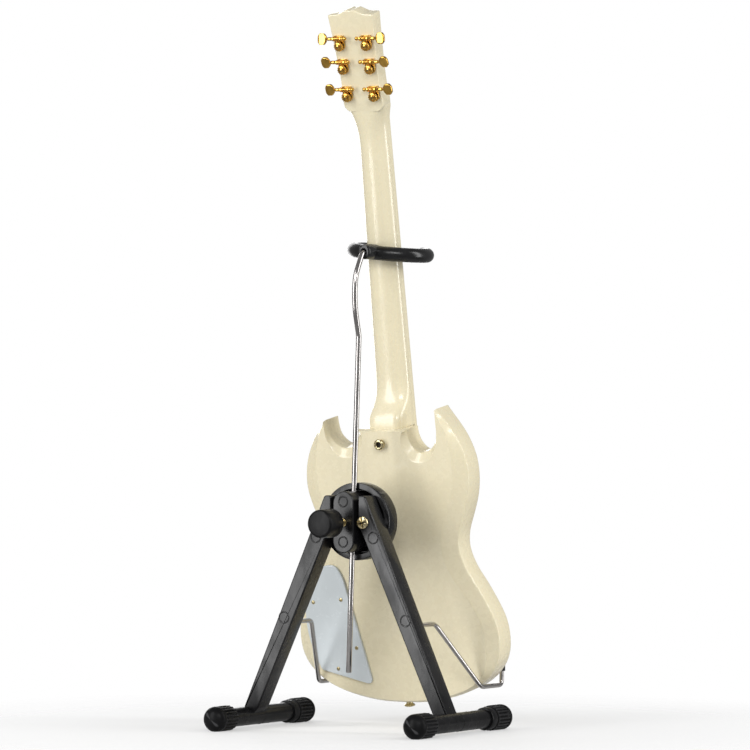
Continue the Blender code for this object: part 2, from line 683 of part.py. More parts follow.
def clamp_block():
    outline = rounded_box(BLOCK_HALF_WIDTH, BLOCK_HEIGHT / 2, BLOCK_HALF_WIDTH * 0.98, (0, HUB_HEIGHT), 6)
    block = plate("clamp_block", outline, BLOCK_BACK, DISH_FLOOR - GAP, BLACK, STAND, 0.3 * MM)
    combine(block, rod_cutter("rod_channel", BEARING), "DIFFERENCE")
    thread = rod("screw_bore", KNOB_SCREW_RADIUS + BEARING, BLOCK_BACK - 1 * MM, ROD_FORWARD, None, STAND,
                 (0, HUB_HEIGHT, 0), steps=16, collection=CUTTERS)
    combine(block, thread, "DIFFERENCE")


def clamp_knob():
    tip = ROD_FORWARD - ROD_RADIUS - GAP
    front = BLOCK_BACK - KNOB_STANDOFF
    back = front - KNOB_LENGTH
    profile = [
        (0, tip), (KNOB_SCREW_RADIUS, tip), (KNOB_SCREW_RADIUS, front), (KNOB_RADIUS - 0.3 * MM, front),
        (KNOB_RADIUS, front - 0.3 * MM), (KNOB_RADIUS - 0.4 * MM, back + 0.4 * MM),
        (KNOB_RADIUS - 0.9 * MM, back), (0, back),
    ]
    turned("clamp_knob", profile, BLACK, STAND, (0, HUB_HEIGHT, 0), steps=28)


def neck_rod():
    stub_end = yoke_rear() - 7.1 * MM
    lift = YOKE_HEIGHT + 0.3 * MM
    bend = 141.8 * MM
    straight = [(0, ROD_BOTTOM, rod_forward(ROD_BOTTOM)), (0, bend - 2 * MM, rod_forward(bend - 2 * MM))]
    crook = [
        (0, bend, rod_forward(bend) - 0.1 * MM), (0, bend + 4 * MM, rod_forward(bend) - 1.3 * MM),
        (0, bend + 9 * MM, rod_forward(bend) - 2.5 * MM), (0, bend + 15 * MM, rod_forward(bend) - 2.9 * MM),
        (0, bend + 21 * MM, rod_forward(bend) - 2.1 * MM), (0, lift - 3.2 * MM, stub_end - 2.6 * MM),
        (0, lift - 0.6 * MM, stub_end - 0.6 * MM), (0, lift, stub_end + 1.5 * MM), (0, lift, stub_end + 4 * MM),
    ]
    wire("neck_rod", straight + smooth_path(crook, 3), ROD_RADIUS, STEEL, STAND)


def yoke_rear():
    """How far forward the yoke's rearmost tube centre is, so that the neck just rests on it."""
    return back_forward(YOKE_HEIGHT, NECK_CROWN - GAP - YOKE_RADIUS)


def neck_yoke():
    middle = yoke_rear() + YOKE_HALF_DEPTH
    count = 36
    ring = []
    for step in range(count + 1):
        angle = YOKE_OPENING + (TAU - 2 * YOKE_OPENING) * step / count
        x = YOKE_HALF_WIDTH * math.sin(angle)
        ring.append((x, YOKE_HEIGHT + x * math.tan(YOKE_ROLL), middle + YOKE_HALF_DEPTH * math.cos(angle)))
    made = wire("neck_yoke", ring, YOKE_RADIUS, BLACK, STAND, 2)
    stub = rod("yoke_stub", 2.7 * MM, -7.1 * MM, 1.0 * MM, None, STAND, (0, YOKE_HEIGHT + 0.3 * MM, yoke_rear()),
               steps=20, collection=CUTTERS)
    combine(made, stub, "UNION")
    socket = rod("yoke_socket", ROD_RADIUS + 0.25 * MM, -9 * MM, -2.6 * MM, None, STAND,
                 (0, YOKE_HEIGHT + 0.3 * MM, yoke_rear()), steps=16, collection=CUTTERS)
    combine(made, socket, "DIFFERENCE")


# Stand: legs, feet and arms

def leg_axis_x(up):
    """X of the leg's middle line at this height, on the right leg."""
    return PIVOT_X + LEG_OFFSET + (HUB_HEIGHT - up) * math.tan(LEG_ANGLE)


FOOT_X = leg_axis_x(FOOT_AXIS)


def leg(name, sign):
    half = LEG_WIDTH / 2 / math.cos(LEG_ANGLE)
    top = HUB_HEIGHT + LEG_TOP
    foot = FOOT_AXIS
    knee = HUB_HEIGHT - (LEG_STOP_X - leg_axis_x(HUB_HEIGHT) + half) / math.tan(LEG_ANGLE)
    corners = [
        (LEG_STOP_X, top, 1.2 * MM), (leg_axis_x(top) + half, top, 0.8 * MM),
        (leg_axis_x(foot) + half * 0.6, foot, 0.3 * MM), (leg_axis_x(foot) - half * 0.6, foot, 0.3 * MM),
        (leg_axis_x(foot + 3 * MM) - half, foot + 3 * MM, 0.3 * MM), (LEG_STOP_X, knee, 1.0 * MM),
    ]
    outline = [(sign * x, up) for x, up in rounded_corners(corners, 3)]
    made = plate(f"leg_{name}", outline, -LEG_FRONT, LEG_FRONT, BLACK, STAND, 0.4 * MM)
    pin = 3.0 * MM
    tube = FOOT_TUBE_RADIUS
    front = FOOT_FRONT - FOOT_BAND - GAP
    rear = -(FOOT_REAR - FOOT_BAND - GAP)
    profile = [
        (0, front + 6 * MM), (pin, front + 6 * MM), (pin, front), (tube + 0.7 * MM, front),
        (tube + 0.7 * MM, front - 3.5 * MM), (tube, front - 3.5 * MM), (tube, rear), (pin, rear),
        (pin, rear - 6 * MM), (0, rear - 6 * MM),
    ]
    bar = turned(f"foot_bar_{name}", profile, None, STAND, (sign * FOOT_X, FOOT_AXIS, 0), steps=24,
                 collection=CUTTERS)
    combine(made, bar, "UNION")
    pivot = rod(f"pivot_hole_{name}", PIVOT_SCREW_RADIUS + BEARING, -6 * MM, 6 * MM, None, STAND,
                (sign * PIVOT_X, HUB_HEIGHT, 0), steps=16, collection=CUTTERS)
    combine(made, pivot, "DIFFERENCE")
    socket = rod(f"arm_socket_{name}", ARM_RADIUS + BEARING, 0, 6 * MM, None, STAND,
                 (sign * leg_axis_x(ARM_SHANK_UP), ARM_SHANK_UP, 0), steps=12, collection=CUTTERS)
    combine(made, socket, "DIFFERENCE")


def pivot_screw(name, sign):
    face = -LEG_FRONT - GAP
    profile = [
        (0, DISH_FLOOR - 0.6 * MM), (PIVOT_SCREW_RADIUS, DISH_FLOOR - 0.6 * MM), (PIVOT_SCREW_RADIUS, face),
        (2.2 * MM, face), (2.2 * MM, face - 0.5 * MM), (1.6 * MM, face - 1.0 * MM), (0, face - 1.2 * MM),
    ]
    turned(f"pivot_screw_{name}", profile, BRASS, STAND, (sign * PIVOT_X, HUB_HEIGHT, 0), steps=20)


def foot_cap(name, sign, end):
    """A rubber cup on one end of a foot bar: end is 1 at the front and -1 at the rear."""
    outer = FOOT_CAP_RADIUS
    bore = 3.3 * MM
    reach = FOOT_FRONT if end > 0 else FOOT_REAR
    dome = [
        (outer * math.cos(angle), FOOT_DOME * math.sin(angle))
        for angle in (TAU / 4 * step / 5 for step in range(5, -1, -1))
    ]
    dome[0] = (0, FOOT_DOME)
    profile = dome + [(outer, -FOOT_BAND), (bore, -FOOT_BAND), (bore, -2.0 * MM), (0, -2.0 * MM)]
    cap = turned(f"foot_cap_{name}", profile, RUBBER, STAND, (sign * FOOT_X, FOOT_AXIS, end * reach),
                 (0, 0, end), 28)
    under = plate(f"sole_{name}", [(-8 * MM, -4 * MM), (8 * MM, -4 * MM), (8 * MM, 0), (-8 * MM, 0)],
                  end * reach - 12 * MM, end * reach + 12 * MM, None, STAND, at=(sign * FOOT_X, 0, 0),
                  collection=CUTTERS)
    combine(cap, under, "DIFFERENCE")


def body_arm(name, sign):
    shank_x = leg_axis_x(ARM_SHANK_UP)
    corners = [
        (shank_x, ARM_SHANK_UP, 0.6 * MM), (shank_x, ARM_SHANK_UP, ARM_SHANK_FORWARD),
        (ARM_CRADLE_X, ARM_CRADLE_UP, ARM_CRADLE_START), (ARM_CRADLE_X, ARM_CRADLE_UP, ARM_CRADLE_END),
        (ARM_CRADLE_X, ARM_TIP_UP + 2 * MM, ARM_CRADLE_END),
    ]
    path = [corners[0]]
    for before, here, after in zip(corners, corners[1:], corners[2:]):
        corner = Vector(here)
        start = corner + (Vector(before) - corner).normalized() * 2.2 * MM
        end = corner + (Vector(after) - corner).normalized() * 2.2 * MM
        for step in range(6):
            t = step / 5
            path.append(tuple(start * (1 - t) ** 2 + corner * 2 * t * (1 - t) + end * t * t))
    path.append(corners[-1])
    wire(f"body_arm_{name}", [(sign * x, up, forward) for x, up, forward in path], ARM_RADIUS, STEEL, STAND)
    bore = ARM_RADIUS + 0.15 * MM
    profile = [
        (0, ARM_TIP_LENGTH), (ARM_TIP_RADIUS * 0.7, ARM_TIP_LENGTH - 0.2 * MM),
        (ARM_TIP_RADIUS, ARM_TIP_LENGTH - 0.8 * MM), (ARM_TIP_RADIUS, 0), (bore, 0), (bore, 2.4 * MM), (0, 2.4 * MM),
    ]
    turned(f"arm_tip_{name}", profile, RUBBER, STAND, (sign * ARM_CRADLE_X, ARM_TIP_UP, ARM_CRADLE_END),
           (0, 1, 0), 14)


def build():
    guitar_body()
    neck()
    fretboard()
    nut()
    truss_rod_cover()
    for name, x, along, sign in post_places():
        tuner(name, x, along, sign)
    pickguard()
    for name, along in (("neck", 97.5), ("middle", 85.0), ("bridge", 72.5)):
        pickup(name, along * MM)
    bridge_at = NUT_ALONG - SCALE_LENGTH
    studded_bar("bridge", bridge_at, 10.5 * MM, 1.4 * MM, BODY_THICKNESS + 2.4 * MM,
                BODY_THICKNESS + 4.4 * MM, 9.2 * MM)
    studded_bar("tailpiece", bridge_at - 11 * MM, 11.2 * MM, 1.7 * MM, BODY_THICKNESS + 1.6 * MM,
                BODY_THICKNESS + 3.8 * MM, 10.2 * MM)
    control_cover()
    strap_button("strap_button_heel", (0, 103.5 * MM, 0), (0, 0, -1))
    strap_button("strap_button_end", (0, BODY_BOTTOM, 5.75 * MM), (0, -1, 0))
    for name, x, along in CONTROL_KNOBS:
        control_knob(name, x, along)
    toggle_switch()
    output_jack()
    hub_dish()
    clamp_block()
    clamp_knob()
    neck_rod()
    neck_yoke()
    for name, sign in (("left", -1), ("right", 1)):
        leg(name, sign)
        pivot_screw(name, sign)
        body_arm(name, sign)
        for where, end in (("front", 1), ("rear", -1)):
            foot_cap(f"{name}_{where}", sign, end)


build()
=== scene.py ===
"""Look of a miniature cream guitar resting on a folding black stand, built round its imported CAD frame.

Everything is in metres in the frame of the CAD. Guitar pieces are drawn in (x, along, out): along
runs up the guitar and out runs from its back towards the strings. Stand pieces are drawn in
(x, up, forward). Each finished piece then has its place in its mesh.
"""

import json
import math

import bmesh
import bpy
from mathutils import Matrix, Vector


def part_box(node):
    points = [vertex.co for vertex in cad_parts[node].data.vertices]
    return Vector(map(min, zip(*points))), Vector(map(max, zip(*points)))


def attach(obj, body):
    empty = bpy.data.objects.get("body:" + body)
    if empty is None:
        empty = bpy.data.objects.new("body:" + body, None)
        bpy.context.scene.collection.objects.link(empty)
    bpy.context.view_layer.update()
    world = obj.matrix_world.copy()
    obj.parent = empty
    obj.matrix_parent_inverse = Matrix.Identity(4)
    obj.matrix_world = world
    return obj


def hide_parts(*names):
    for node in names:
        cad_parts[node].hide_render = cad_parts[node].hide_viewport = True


bl_info = {
    "name": "Guitar on Stand",
    "version": (1, 0, 0),
    "blender": (4, 5, 0),
    "location": "3D Viewport > Sidebar > Guitar",
    "description": "Builds a miniature guitar and its folding stand round a packed CAD frame",
    "category": "Add Mesh",
}

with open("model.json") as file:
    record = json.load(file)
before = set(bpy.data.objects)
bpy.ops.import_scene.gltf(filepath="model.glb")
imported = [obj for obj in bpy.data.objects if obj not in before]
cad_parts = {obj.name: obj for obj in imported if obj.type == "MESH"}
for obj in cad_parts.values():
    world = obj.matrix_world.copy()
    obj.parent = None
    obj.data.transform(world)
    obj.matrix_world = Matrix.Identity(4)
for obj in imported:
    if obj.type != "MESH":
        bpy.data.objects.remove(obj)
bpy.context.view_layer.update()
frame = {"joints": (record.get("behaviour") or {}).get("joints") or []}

MM = 0.001
TAU = 2 * math.pi
JOINTS = {joint["name"]: joint for joint in frame["joints"]}


def joint_place(name):
    return Vector(JOINTS[name]["pos_m"])


def joint_axis(name):
    return Vector(JOINTS[name]["axis"]).normalized()


def frame_of(origin, along, out):
    """The matrix that takes (x, along, out) to the row frame."""
    across = along.cross(out)
    matrix = Matrix((across, along, out)).transposed().to_4x4()
    matrix.translation = origin
    return matrix


# Where the guitar and the stand are
BODY_THICKNESS = 11.0 * MM
NECK_TOP = 12.7 * MM
NECK_CROWN = 8.0 * MM
BODY_TOP = 108.5 * MM
NUT_ALONG = 222.0 * MM
SCALE_LENGTH = 157.8 * MM
HEAD_THICKNESS = 6.0 * MM
BOARD_LOW = NECK_TOP + 0.3 * MM
BOARD_TOP = BOARD_LOW + 1.6 * MM
BACK_AT_FLOOR = 38.9 * MM
PIVOT = joint_place("leg_right_fold")
HUB_HEIGHT = PIVOT.z
ALONG = joint_axis("guitar_lift")
OUT = joint_axis("knob_volume_neck_turn")
GUITAR = frame_of(Vector((0, PIVOT.y - BACK_AT_FLOOR, 0)), ALONG, OUT)
STAND = frame_of(Vector((0, PIVOT.y, 0)), Vector((0, 0, 1)), Vector((0, -1, 0)))
HEAD_OUT = joint_axis("post_bass_1_turn")
HEAD_ALONG = HEAD_OUT.cross(Vector((1, 0, 0)))
HEAD = frame_of(GUITAR @ Vector((0, NUT_ALONG, NECK_TOP - HEAD_THICKNESS)), HEAD_ALONG, HEAD_OUT)


# Materials

class Finish:
    """A Principled material with helpers that add nodes reading the Object coordinates."""

    def __init__(self, name, colour, roughness, metallic=0.0, **sockets):
        self.material = bpy.data.materials.new(name)
        self.material.use_nodes = True
        self.nodes = self.material.node_tree.nodes
        self.links = self.material.node_tree.links
        self.shader = self.nodes["Principled BSDF"]
        self.shader.inputs["Base Color"].default_value = (*colour, 1)
        self.shader.inputs["Roughness"].default_value = roughness
        self.shader.inputs["Metallic"].default_value = metallic
        for socket, value in sockets.items():
            self.shader.inputs[socket.replace("_", " ")].default_value = value
        self.place = self.nodes.new("ShaderNodeTexCoord").outputs["Object"]
        self.normal = None

    def noise(self, scale, detail=3.0, stretch=(1, 1, 1), roughness=0.55):
        mapping = self.nodes.new("ShaderNodeMapping")
        mapping.inputs["Scale"].default_value = stretch
        self.links.new(self.place, mapping.inputs["Vector"])
        noise = self.nodes.new("ShaderNodeTexNoise")
        noise.inputs["Scale"].default_value = scale
        noise.inputs["Detail"].default_value = detail
        noise.inputs["Roughness"].default_value = roughness
        self.links.new(mapping.outputs["Vector"], noise.inputs["Vector"])
        return noise.outputs["Fac"]

    def height(self):
        """How far up from the floor the surface is, in metres."""
        split = self.nodes.new("ShaderNodeSeparateXYZ")
        self.links.new(self.place, split.inputs["Vector"])
        return split.outputs["Z"]

    def ramp(self, value, low, high, start=0.35, end=0.65):
        """A value or colour that runs from low to high as value goes from start to end."""
        ramp = self.nodes.new("ShaderNodeValToRGB")
        for element, place, colour in zip(ramp.color_ramp.elements, (start, end), (low, high)):
            element.position = place
            element.color = (*colour, 1) if isinstance(colour, tuple) else (colour, colour, colour, 1)
        self.links.new(value, ramp.inputs["Fac"])
        return ramp.outputs["Color"]

    def vary(self, socket, value, low, high, start=0.35, end=0.65):
        self.links.new(self.ramp(value, low, high, start, end), self.shader.inputs[socket])
        return self

    def bump(self, value, distance, strength=1.0):
        bump = self.nodes.new("ShaderNodeBump")
        bump.inputs["Distance"].default_value = distance
        bump.inputs["Strength"].default_value = strength
        self.links.new(value, bump.inputs["Height"])
        if self.normal:
            self.links.new(self.normal, bump.inputs["Normal"])
        self.normal = bump.outputs["Normal"]
        self.links.new(self.normal, self.shader.inputs["Normal"])
        return self

    def painted_edge_highlight(self, colour, start, end):
        """Paints a highlight colour where the surface is pointed, on sharp edges."""
        point = self.nodes.new("ShaderNodeNewGeometry").outputs["Pointiness"]
        edge = self.ramp(point, 0.0, 1.0, start, end)
        mix = self.nodes.new("ShaderNodeMix")
        mix.data_type = "RGBA"
        base = self.shader.inputs["Base Color"]
        if base.is_linked:
            self.links.new(base.links[0].from_socket, mix.inputs["A"])
        else:
            mix.inputs["A"].default_value = base.default_value
        mix.inputs["B"].default_value = (*colour, 1)
        self.links.new(edge, mix.inputs["Factor"])
        self.links.new(mix.outputs["Result"], base)
        return self


def tint(colour, share):
    return tuple(min(1.0, channel * share) for channel in colour)


def cream_lacquer(cream):
    lacquer = Finish("cream_lacquer", cream, 0.26, Coat_Weight=0.5, Coat_Roughness=0.09, Coat_IOR=1.5,
                     Specular_IOR_Level=0.5, Subsurface_Weight=0.06, Subsurface_Scale=0.002)
    lacquer.shader.inputs["Subsurface Radius"].default_value = (1.0, 0.8, 0.5)
    lacquer.vary("Base Color", lacquer.noise(38, 4), tint(cream, 0.965), tint(cream, 1.02), 0.3, 0.7)
    lacquer.vary("Roughness", lacquer.noise(420, 3), 0.22, 0.32)
    return lacquer.bump(lacquer.noise(330, 2), 0.00003, 0.35)


def gold_plate(gold):
    plate = Finish("gold_plate", gold, 0.13, 1.0)
    plate.vary("Base Color", plate.noise(420, 3), tint(gold, 0.8), tint(gold, 1.06), 0.35, 0.62)
    plate.vary("Roughness", plate.noise(900, 3), 0.08, 0.2)
    return plate.bump(plate.noise(900, 2), 0.00002, 0.25)


def yellow_zinc(brass):
    zinc = Finish("yellow_zinc", brass, 0.22, 1.0)
    zinc.vary("Base Color", zinc.noise(700, 3), tint(brass, 0.7), tint(brass, 1.1))
    return zinc.vary("Roughness", zinc.noise(1200, 3), 0.14, 0.32)


def bright_steel(colour):
    """Wire with faint marks drawn out along its length."""
    steel = Finish("bright_steel", colour, 0.14, 1.0)
    steel.vary("Base Color", steel.noise(160, 3), tint(colour, 0.82), tint(colour, 1.04))
    return steel.vary("Roughness", steel.noise(500, 3, (1, 1, 0.15)), 0.12, 0.24)


def black_moulding(name, colour, rough, gloss, grain):
    """Black plastic or rubber with a painted highlight on its sharp edges and its reflection turned down near
    the floor as painted shade. grain is the strength of its fine bump.
    """
    dark = Finish(name, colour, rough)
    dark.vary("Base Color", dark.noise(170, 5), tint(colour, 0.6), tint(colour, 1.7), 0.35, 0.75)
    dark.vary("Roughness", dark.noise(200, 5, (1, 1, 0.35)), rough * 0.65, rough * 1.35)
    # Painted shade: the reflection is turned down near the floor, so the pale floor doesn't show in the feet.
    dark.vary("Specular IOR Level", dark.height(), gloss * 0.3, gloss, 0.009, 0.022)
    dark.bump(dark.noise(150, 3, (1, 1, 0.4)), 0.00015, grain * 0.8)
    dark.bump(dark.noise(1900, 2), 0.00002, grain)
    # Painted highlight: a lighter grey on the sharp edges of the black mouldings.
    return dark.painted_edge_highlight((0.05, 0.05, 0.052), 0.55, 0.66)


def pale_plastic(colour):
    pale = Finish("pale_plastic", colour, 0.22, Coat_Weight=0.3, Coat_Roughness=0.08)
    pale.vary("Base Color", pale.noise(60, 3), tint(colour, 0.96), tint(colour, 1.03))
    pale.vary("Roughness", pale.noise(600, 3), 0.17, 0.28)
    return pale.bump(pale.noise(120, 2), 0.00006, 0.35)


def dark_fretboard():
    """Dark wood with its grain along the neck."""
    wood = Finish("dark_fretboard", (0.055, 0.032, 0.02), 0.45)
    grain = wood.noise(420, 6, (1, 0.06, 0.06), 0.65)
    wood.vary("Base Color", grain, (0.028, 0.016, 0.010), (0.10, 0.058, 0.034), 0.3, 0.72)
    wood.vary("Roughness", grain, 0.36, 0.58)
    return wood.bump(grain, 0.00003, 0.6)


def ivory_plastic():
    bone = Finish("ivory_plastic", (0.84, 0.80, 0.68), 0.32, Subsurface_Weight=0.1, Subsurface_Scale=0.001)
    bone.vary("Base Color", bone.noise(700, 4), (0.76, 0.71, 0.57), (0.87, 0.84, 0.74))
    return bone.bump(bone.noise(2600, 2), 0.00002, 0.4)


def pearl_inlay():
    pearl = Finish("pearl_inlay", (0.80, 0.82, 0.80), 0.2, Coat_Weight=0.5)
    return pearl.vary("Base Color", pearl.noise(900, 5), (0.62, 0.70, 0.70), (0.90, 0.88, 0.84))


def recess_shade_and_marks():
    """Painted shade for the dark inside of holes and slots, also used for the knobs' pointer marks."""
    shadow = Finish("recess_shade_and_marks", (0.012, 0.012, 0.013), 0.6)
    return shadow.vary("Roughness", shadow.noise(900), 0.5, 0.7)


def make_finishes(look):
    """Every finish of the object, by name."""
    black = tuple(look.plastic)
    made = {
        "lacquer": cream_lacquer(tuple(look.lacquer)), "gold": gold_plate(tuple(look.gold)),
        "brass": yellow_zinc(tuple(look.brass)), "steel": bright_steel(tuple(look.steel)),
        "plastic": black_moulding("black_plastic", black, 0.25, 0.38, 0.35),
        "knob": black_moulding("black_knob", tint(black, 0.8), 0.3, 0.14, 0.3),
        "rubber": black_moulding("black_rubber", tint(black, 0.8), 0.32, 0.3, 0.4),
        "pale": pale_plastic(tuple(look.cover)), "fretboard": dark_fretboard(), "bone": ivory_plastic(),
        "pearl": pearl_inlay(), "recess": recess_shade_and_marks(),
    }
    return {name: finish.material for name, finish in made.items()}


FINISHES = {}


# Shapes

def shift(x, y, z):
    return Matrix.Translation((x, y, z))


def spin(angle, axis):
    return Matrix.Rotation(angle, 4, axis)


def on_circle(radius, share):
    """The point on a circle a share of a turn round from the X axis."""
    return radius * math.cos(TAU * share), radius * math.sin(TAU * share)


IDENTITY = Matrix.Identity(4)
# Turns what is drawn along +Z to point the other way
FLIP = spin(math.pi, "X")


def smooth_path(points, steps):
    """Points along a smooth curve through the given ones, of any number of coordinates."""
    ends = [points[0]] + list(points) + [points[-1]]
    path = []
    for before, start, end, after in zip(ends, ends[1:], ends[2:], ends[3:]):
        for step in range(steps):
            t = step / steps
            path.append(tuple(
                0.5 * (2 * b + (c - a) * t + (2 * a - 5 * b + 4 * c - d) * t * t
                       + (3 * b - a - 3 * c + d) * t ** 3)
                for a, b, c, d in zip(before, start, end, after)
            ))
    path.append(tuple(points[-1]))
    return path


def scaled(points):
    """Points given in millimetres, in metres."""
    return [tuple(value * MM for value in point) for point in points]


def inset(outline, width_of):
    """The outline moved inwards by width_of(point) at each point, square to both of its edges."""
    moved = []
    for i, point in enumerate(outline):
        here = Vector(point[:2])
        start = (here - Vector(outline[i - 1][:2])).normalized()
        end = (Vector(outline[(i + 1) % len(outline)][:2]) - here).normalized()
        run = (start + end).normalized()
        reach = min(width_of(point) / max(run.dot(start), 0.1), 1.5 * width_of(point))
        moved.append((here.x - run.y * reach, here.y + run.x * reach))
    return moved


def rounded_box(half_x, half_y, radius, centre=(0, 0), corner_steps=5):
    """The outline of a box with round corners."""
    outline = []
    for quarter, (sx, sy) in enumerate(((1, 1), (-1, 1), (-1, -1), (1, -1))):
        for step in range(corner_steps + 1):
            angle = (quarter + step / corner_steps) * TAU / 4
            outline.append((
                centre[0] + sx * (half_x - radius) + radius * math.cos(angle),
                centre[1] + sy * (half_y - radius) + radius * math.sin(angle),
            ))
    return outline


def bend(before, corner, after, reach, steps):
    """Points round a corner that is eased over reach on both sides of it."""
    before, corner, after = Vector(before), Vector(corner), Vector(after)
    start = corner + (before - corner).normalized() * reach
    end = corner + (after - corner).normalized() * reach
    shares = [step / steps for step in range(steps + 1)]
    return [tuple(start * (1 - t) ** 2 + corner * 2 * t * (1 - t) + end * t * t) for t in shares]


def rounded_corners(points, steps=6):
    """An outline with each (x, up, radius) corner eased."""
    outline = []
    for i, (x, up, radius) in enumerate(points):
        outline += bend(points[i - 1][:2], (x, up), points[(i + 1) % len(points)][:2], radius, steps)
    return outline


def box_outline(half_x, half_y):
    return [(-half_x, -half_y), (half_x, -half_y), (half_x, half_y), (-half_x, half_y)]


def squared_off(value, power):
    """value with its size raised to power and its sign kept, which makes a round section squarer."""
    return math.copysign(abs(value) ** power, value)


def helix(radius, start, end, turns, steps):
    """Points round the Z axis from start to end, with steps to a turn."""
    count = turns * steps
    return [(*on_circle(radius, i / steps), start + (end - start) * i / count) for i in range(count + 1)]


def anticlockwise(outline):
    """The outline in the order that puts its inside on the left."""
    area = sum(a[0] * b[1] - b[0] * a[1] for a, b in zip(outline, outline[1:] + outline[:1]))
    return outline if area > 0 else outline[::-1]


def flatten_caps(mesh):
    """Shades each many-sided face flat, by sharp edges round it."""
    caps = {key for face in mesh.polygons if len(face.vertices) > 8 for key in face.edge_keys}
    sharp = mesh.attributes.get("sharp_edge") or mesh.attributes.new("sharp_edge", "BOOLEAN", "EDGE")
    for edge in mesh.edges:
        if edge.key in caps:
            sharp.data[edge.index].value = True


class Piece:
    """Closed shells drawn in one frame, which become one object at the origin."""

    def __init__(self, frame_matrix):
        self.work = bmesh.new()
        self.matrix = frame_matrix

    def add(self, shell, at=None):
        """Takes in a shell, with its faces turned outwards."""
        bmesh.ops.remove_doubles(shell, verts=shell.verts, dist=1e-7)
        bmesh.ops.recalc_face_normals(shell, faces=shell.faces)
        if shell.calc_volume(signed=True) < 0:
            bmesh.ops.reverse_faces(shell, faces=shell.faces)
        if at is not None:
            shell.transform(at)
        part = bpy.data.meshes.new("shell")
        shell.to_mesh(part)
        shell.free()
        self.work.from_mesh(part)
        bpy.data.meshes.remove(part)
        return self

    def loft(self, rings, at=None):
        """A skin over rings of as many points each, closed by a cap at both ends."""
        shell = bmesh.new()
        rows = [[shell.verts.new(point) for point in ring] for ring in rings]
        count = len(rings[0])
        for low, high in zip(rows, rows[1:]):
            for i in range(count):
                shell.faces.new((low[i], low[(i + 1) % count], high[(i + 1) % count], high[i]))
        shell.faces.new(rows[0])
        shell.faces.new(rows[-1])
        return self.add(shell, at)

    def lathe(self, profile, at=None, steps=32):
        """A closed profile of (radius, height), from the axis round its outside and back."""
        shell = bmesh.new()
        rows = []
        for radius, height in profile:
            if radius <= 1e-9:
                rows.append([shell.verts.new((0, 0, height))])
            else:
                rows.append([shell.verts.new((*on_circle(radius, i / steps), height)) for i in range(steps)])
        pairs = list(zip(rows, rows[1:]))
        if len(rows[0]) > 1:
            pairs.append((rows[-1], rows[0]))
        for low, high in pairs:
            for i in range(steps):
                j = (i + 1) % steps
                corners = [low[i % len(low)], low[j % len(low)], high[j % len(high)], high[i % len(high)]]
                unique = list(dict.fromkeys(corners))
                if len(unique) > 2:
                    shell.faces.new(unique)
        return self.add(shell, at)

    def plate(self, outline, low, high, edge=0.0002, at=None, arc=3, low_edge=None):
        """A flat outline from low to high, its edges rounded to edge above and low_edge below."""
        outline = anticlockwise(list(outline))
        low_edge = edge if low_edge is None else low_edge
        rings = []
        for step in range(arc + 1):
            angle = TAU / 4 * step / arc
            rings.append((low_edge * (1 - math.sin(angle)), low + low_edge * (1 - math.cos(angle))))
        for step in range(arc + 1):
            angle = TAU / 4 * (1 - step / arc)
            rings.append((edge * (1 - math.sin(angle)), high - edge * (1 - math.cos(angle))))
        return self.loft([
            [(x, up, out) for x, up in inset(outline, lambda point: width)] for width, out in rings
        ], at)

    def tube(self, points, radius, sides=16, at=None, taper=None):
        """A round rod through points. taper(share) scales its radius."""
        points = [Vector(point) for point in points]
        side = None
        rings = []
        for i, point in enumerate(points):
            run = (points[min(i + 1, len(points) - 1)] - points[max(i - 1, 0)]).normalized()
            if side is None:
                side = run.orthogonal().normalized()
            side = (side - run * side.dot(run)).normalized()
            other = run.cross(side)
            size = radius * (taper(i / (len(points) - 1)) if taper else 1)
            circle = [on_circle(size, step / sides) for step in range(sides)]
            rings.append([tuple(point + side * x + other * y) for x, y in circle])
        return self.loft(rings, at)

    def finish(self, name, finish, sharp=40):
        """The object that holds every shell, shaded smooth up to an angle of sharp degrees."""
        self.work.transform(self.matrix)
        if self.matrix.determinant() < 0:
            bmesh.ops.reverse_faces(self.work, faces=self.work.faces)
        mesh = bpy.data.meshes.new(name)
        self.work.to_mesh(mesh)
        self.work.free()
        mesh.shade_smooth()
        mesh.set_sharp_from_angle(angle=math.radians(sharp))
        flatten_caps(mesh)
        mesh.materials.append(FINISHES[finish])
        obj = bpy.data.objects.new(name, mesh)
        bpy.context.scene.collection.objects.link(obj)
        return obj


def settle(obj, body, slot_name, *nodes):
    """Rides the piece on its body and hides the CAD nodes it stands for."""
    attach(obj, body)
    if nodes:
        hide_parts(*nodes)
    return obj


# Geometry Nodes

def new_tree(name, count, *floats):
    """A tree with its named inputs, and the sockets that give them inside it."""
    tree = bpy.data.node_groups.new(name, "GeometryNodeTree")
    tree.interface.new_socket("Geometry", in_out="OUTPUT", socket_type="NodeSocketGeometry")
    tree.interface.new_socket("Piece", in_out="INPUT", socket_type="NodeSocketObject")
    tree.interface.new_socket("Count", in_out="INPUT", socket_type="NodeSocketInt").default_value = count
    for label, value in floats:
        tree.interface.new_socket(label, in_out="INPUT", socket_type="NodeSocketFloat").default_value = value
    tree.interface.new_socket("Material", in_out="INPUT", socket_type="NodeSocketMaterial")
    return tree, tree.nodes.new("NodeGroupInput").outputs


def feed(tree, value, socket):
    """Sets a socket to a number, or links it to another socket."""
    if isinstance(value, (int, float)):
        socket.default_value = value
    else:
        tree.links.new(value, socket)


def maths(tree, operation, first, second):
    node = tree.nodes.new("ShaderNodeMath")
    node.operation = operation
    feed(tree, first, node.inputs[0])
    feed(tree, second, node.inputs[1])
    return node.outputs["Value"]


def vector(tree, x=0.0, y=0.0, z=0.0):
    node = tree.nodes.new("ShaderNodeCombineXYZ")
    for value, socket in zip((x, y, z), node.inputs):
        feed(tree, value, socket)
    return node.outputs["Vector"]


def copy_number(tree):
    return tree.nodes.new("GeometryNodeInputIndex").outputs["Index"]


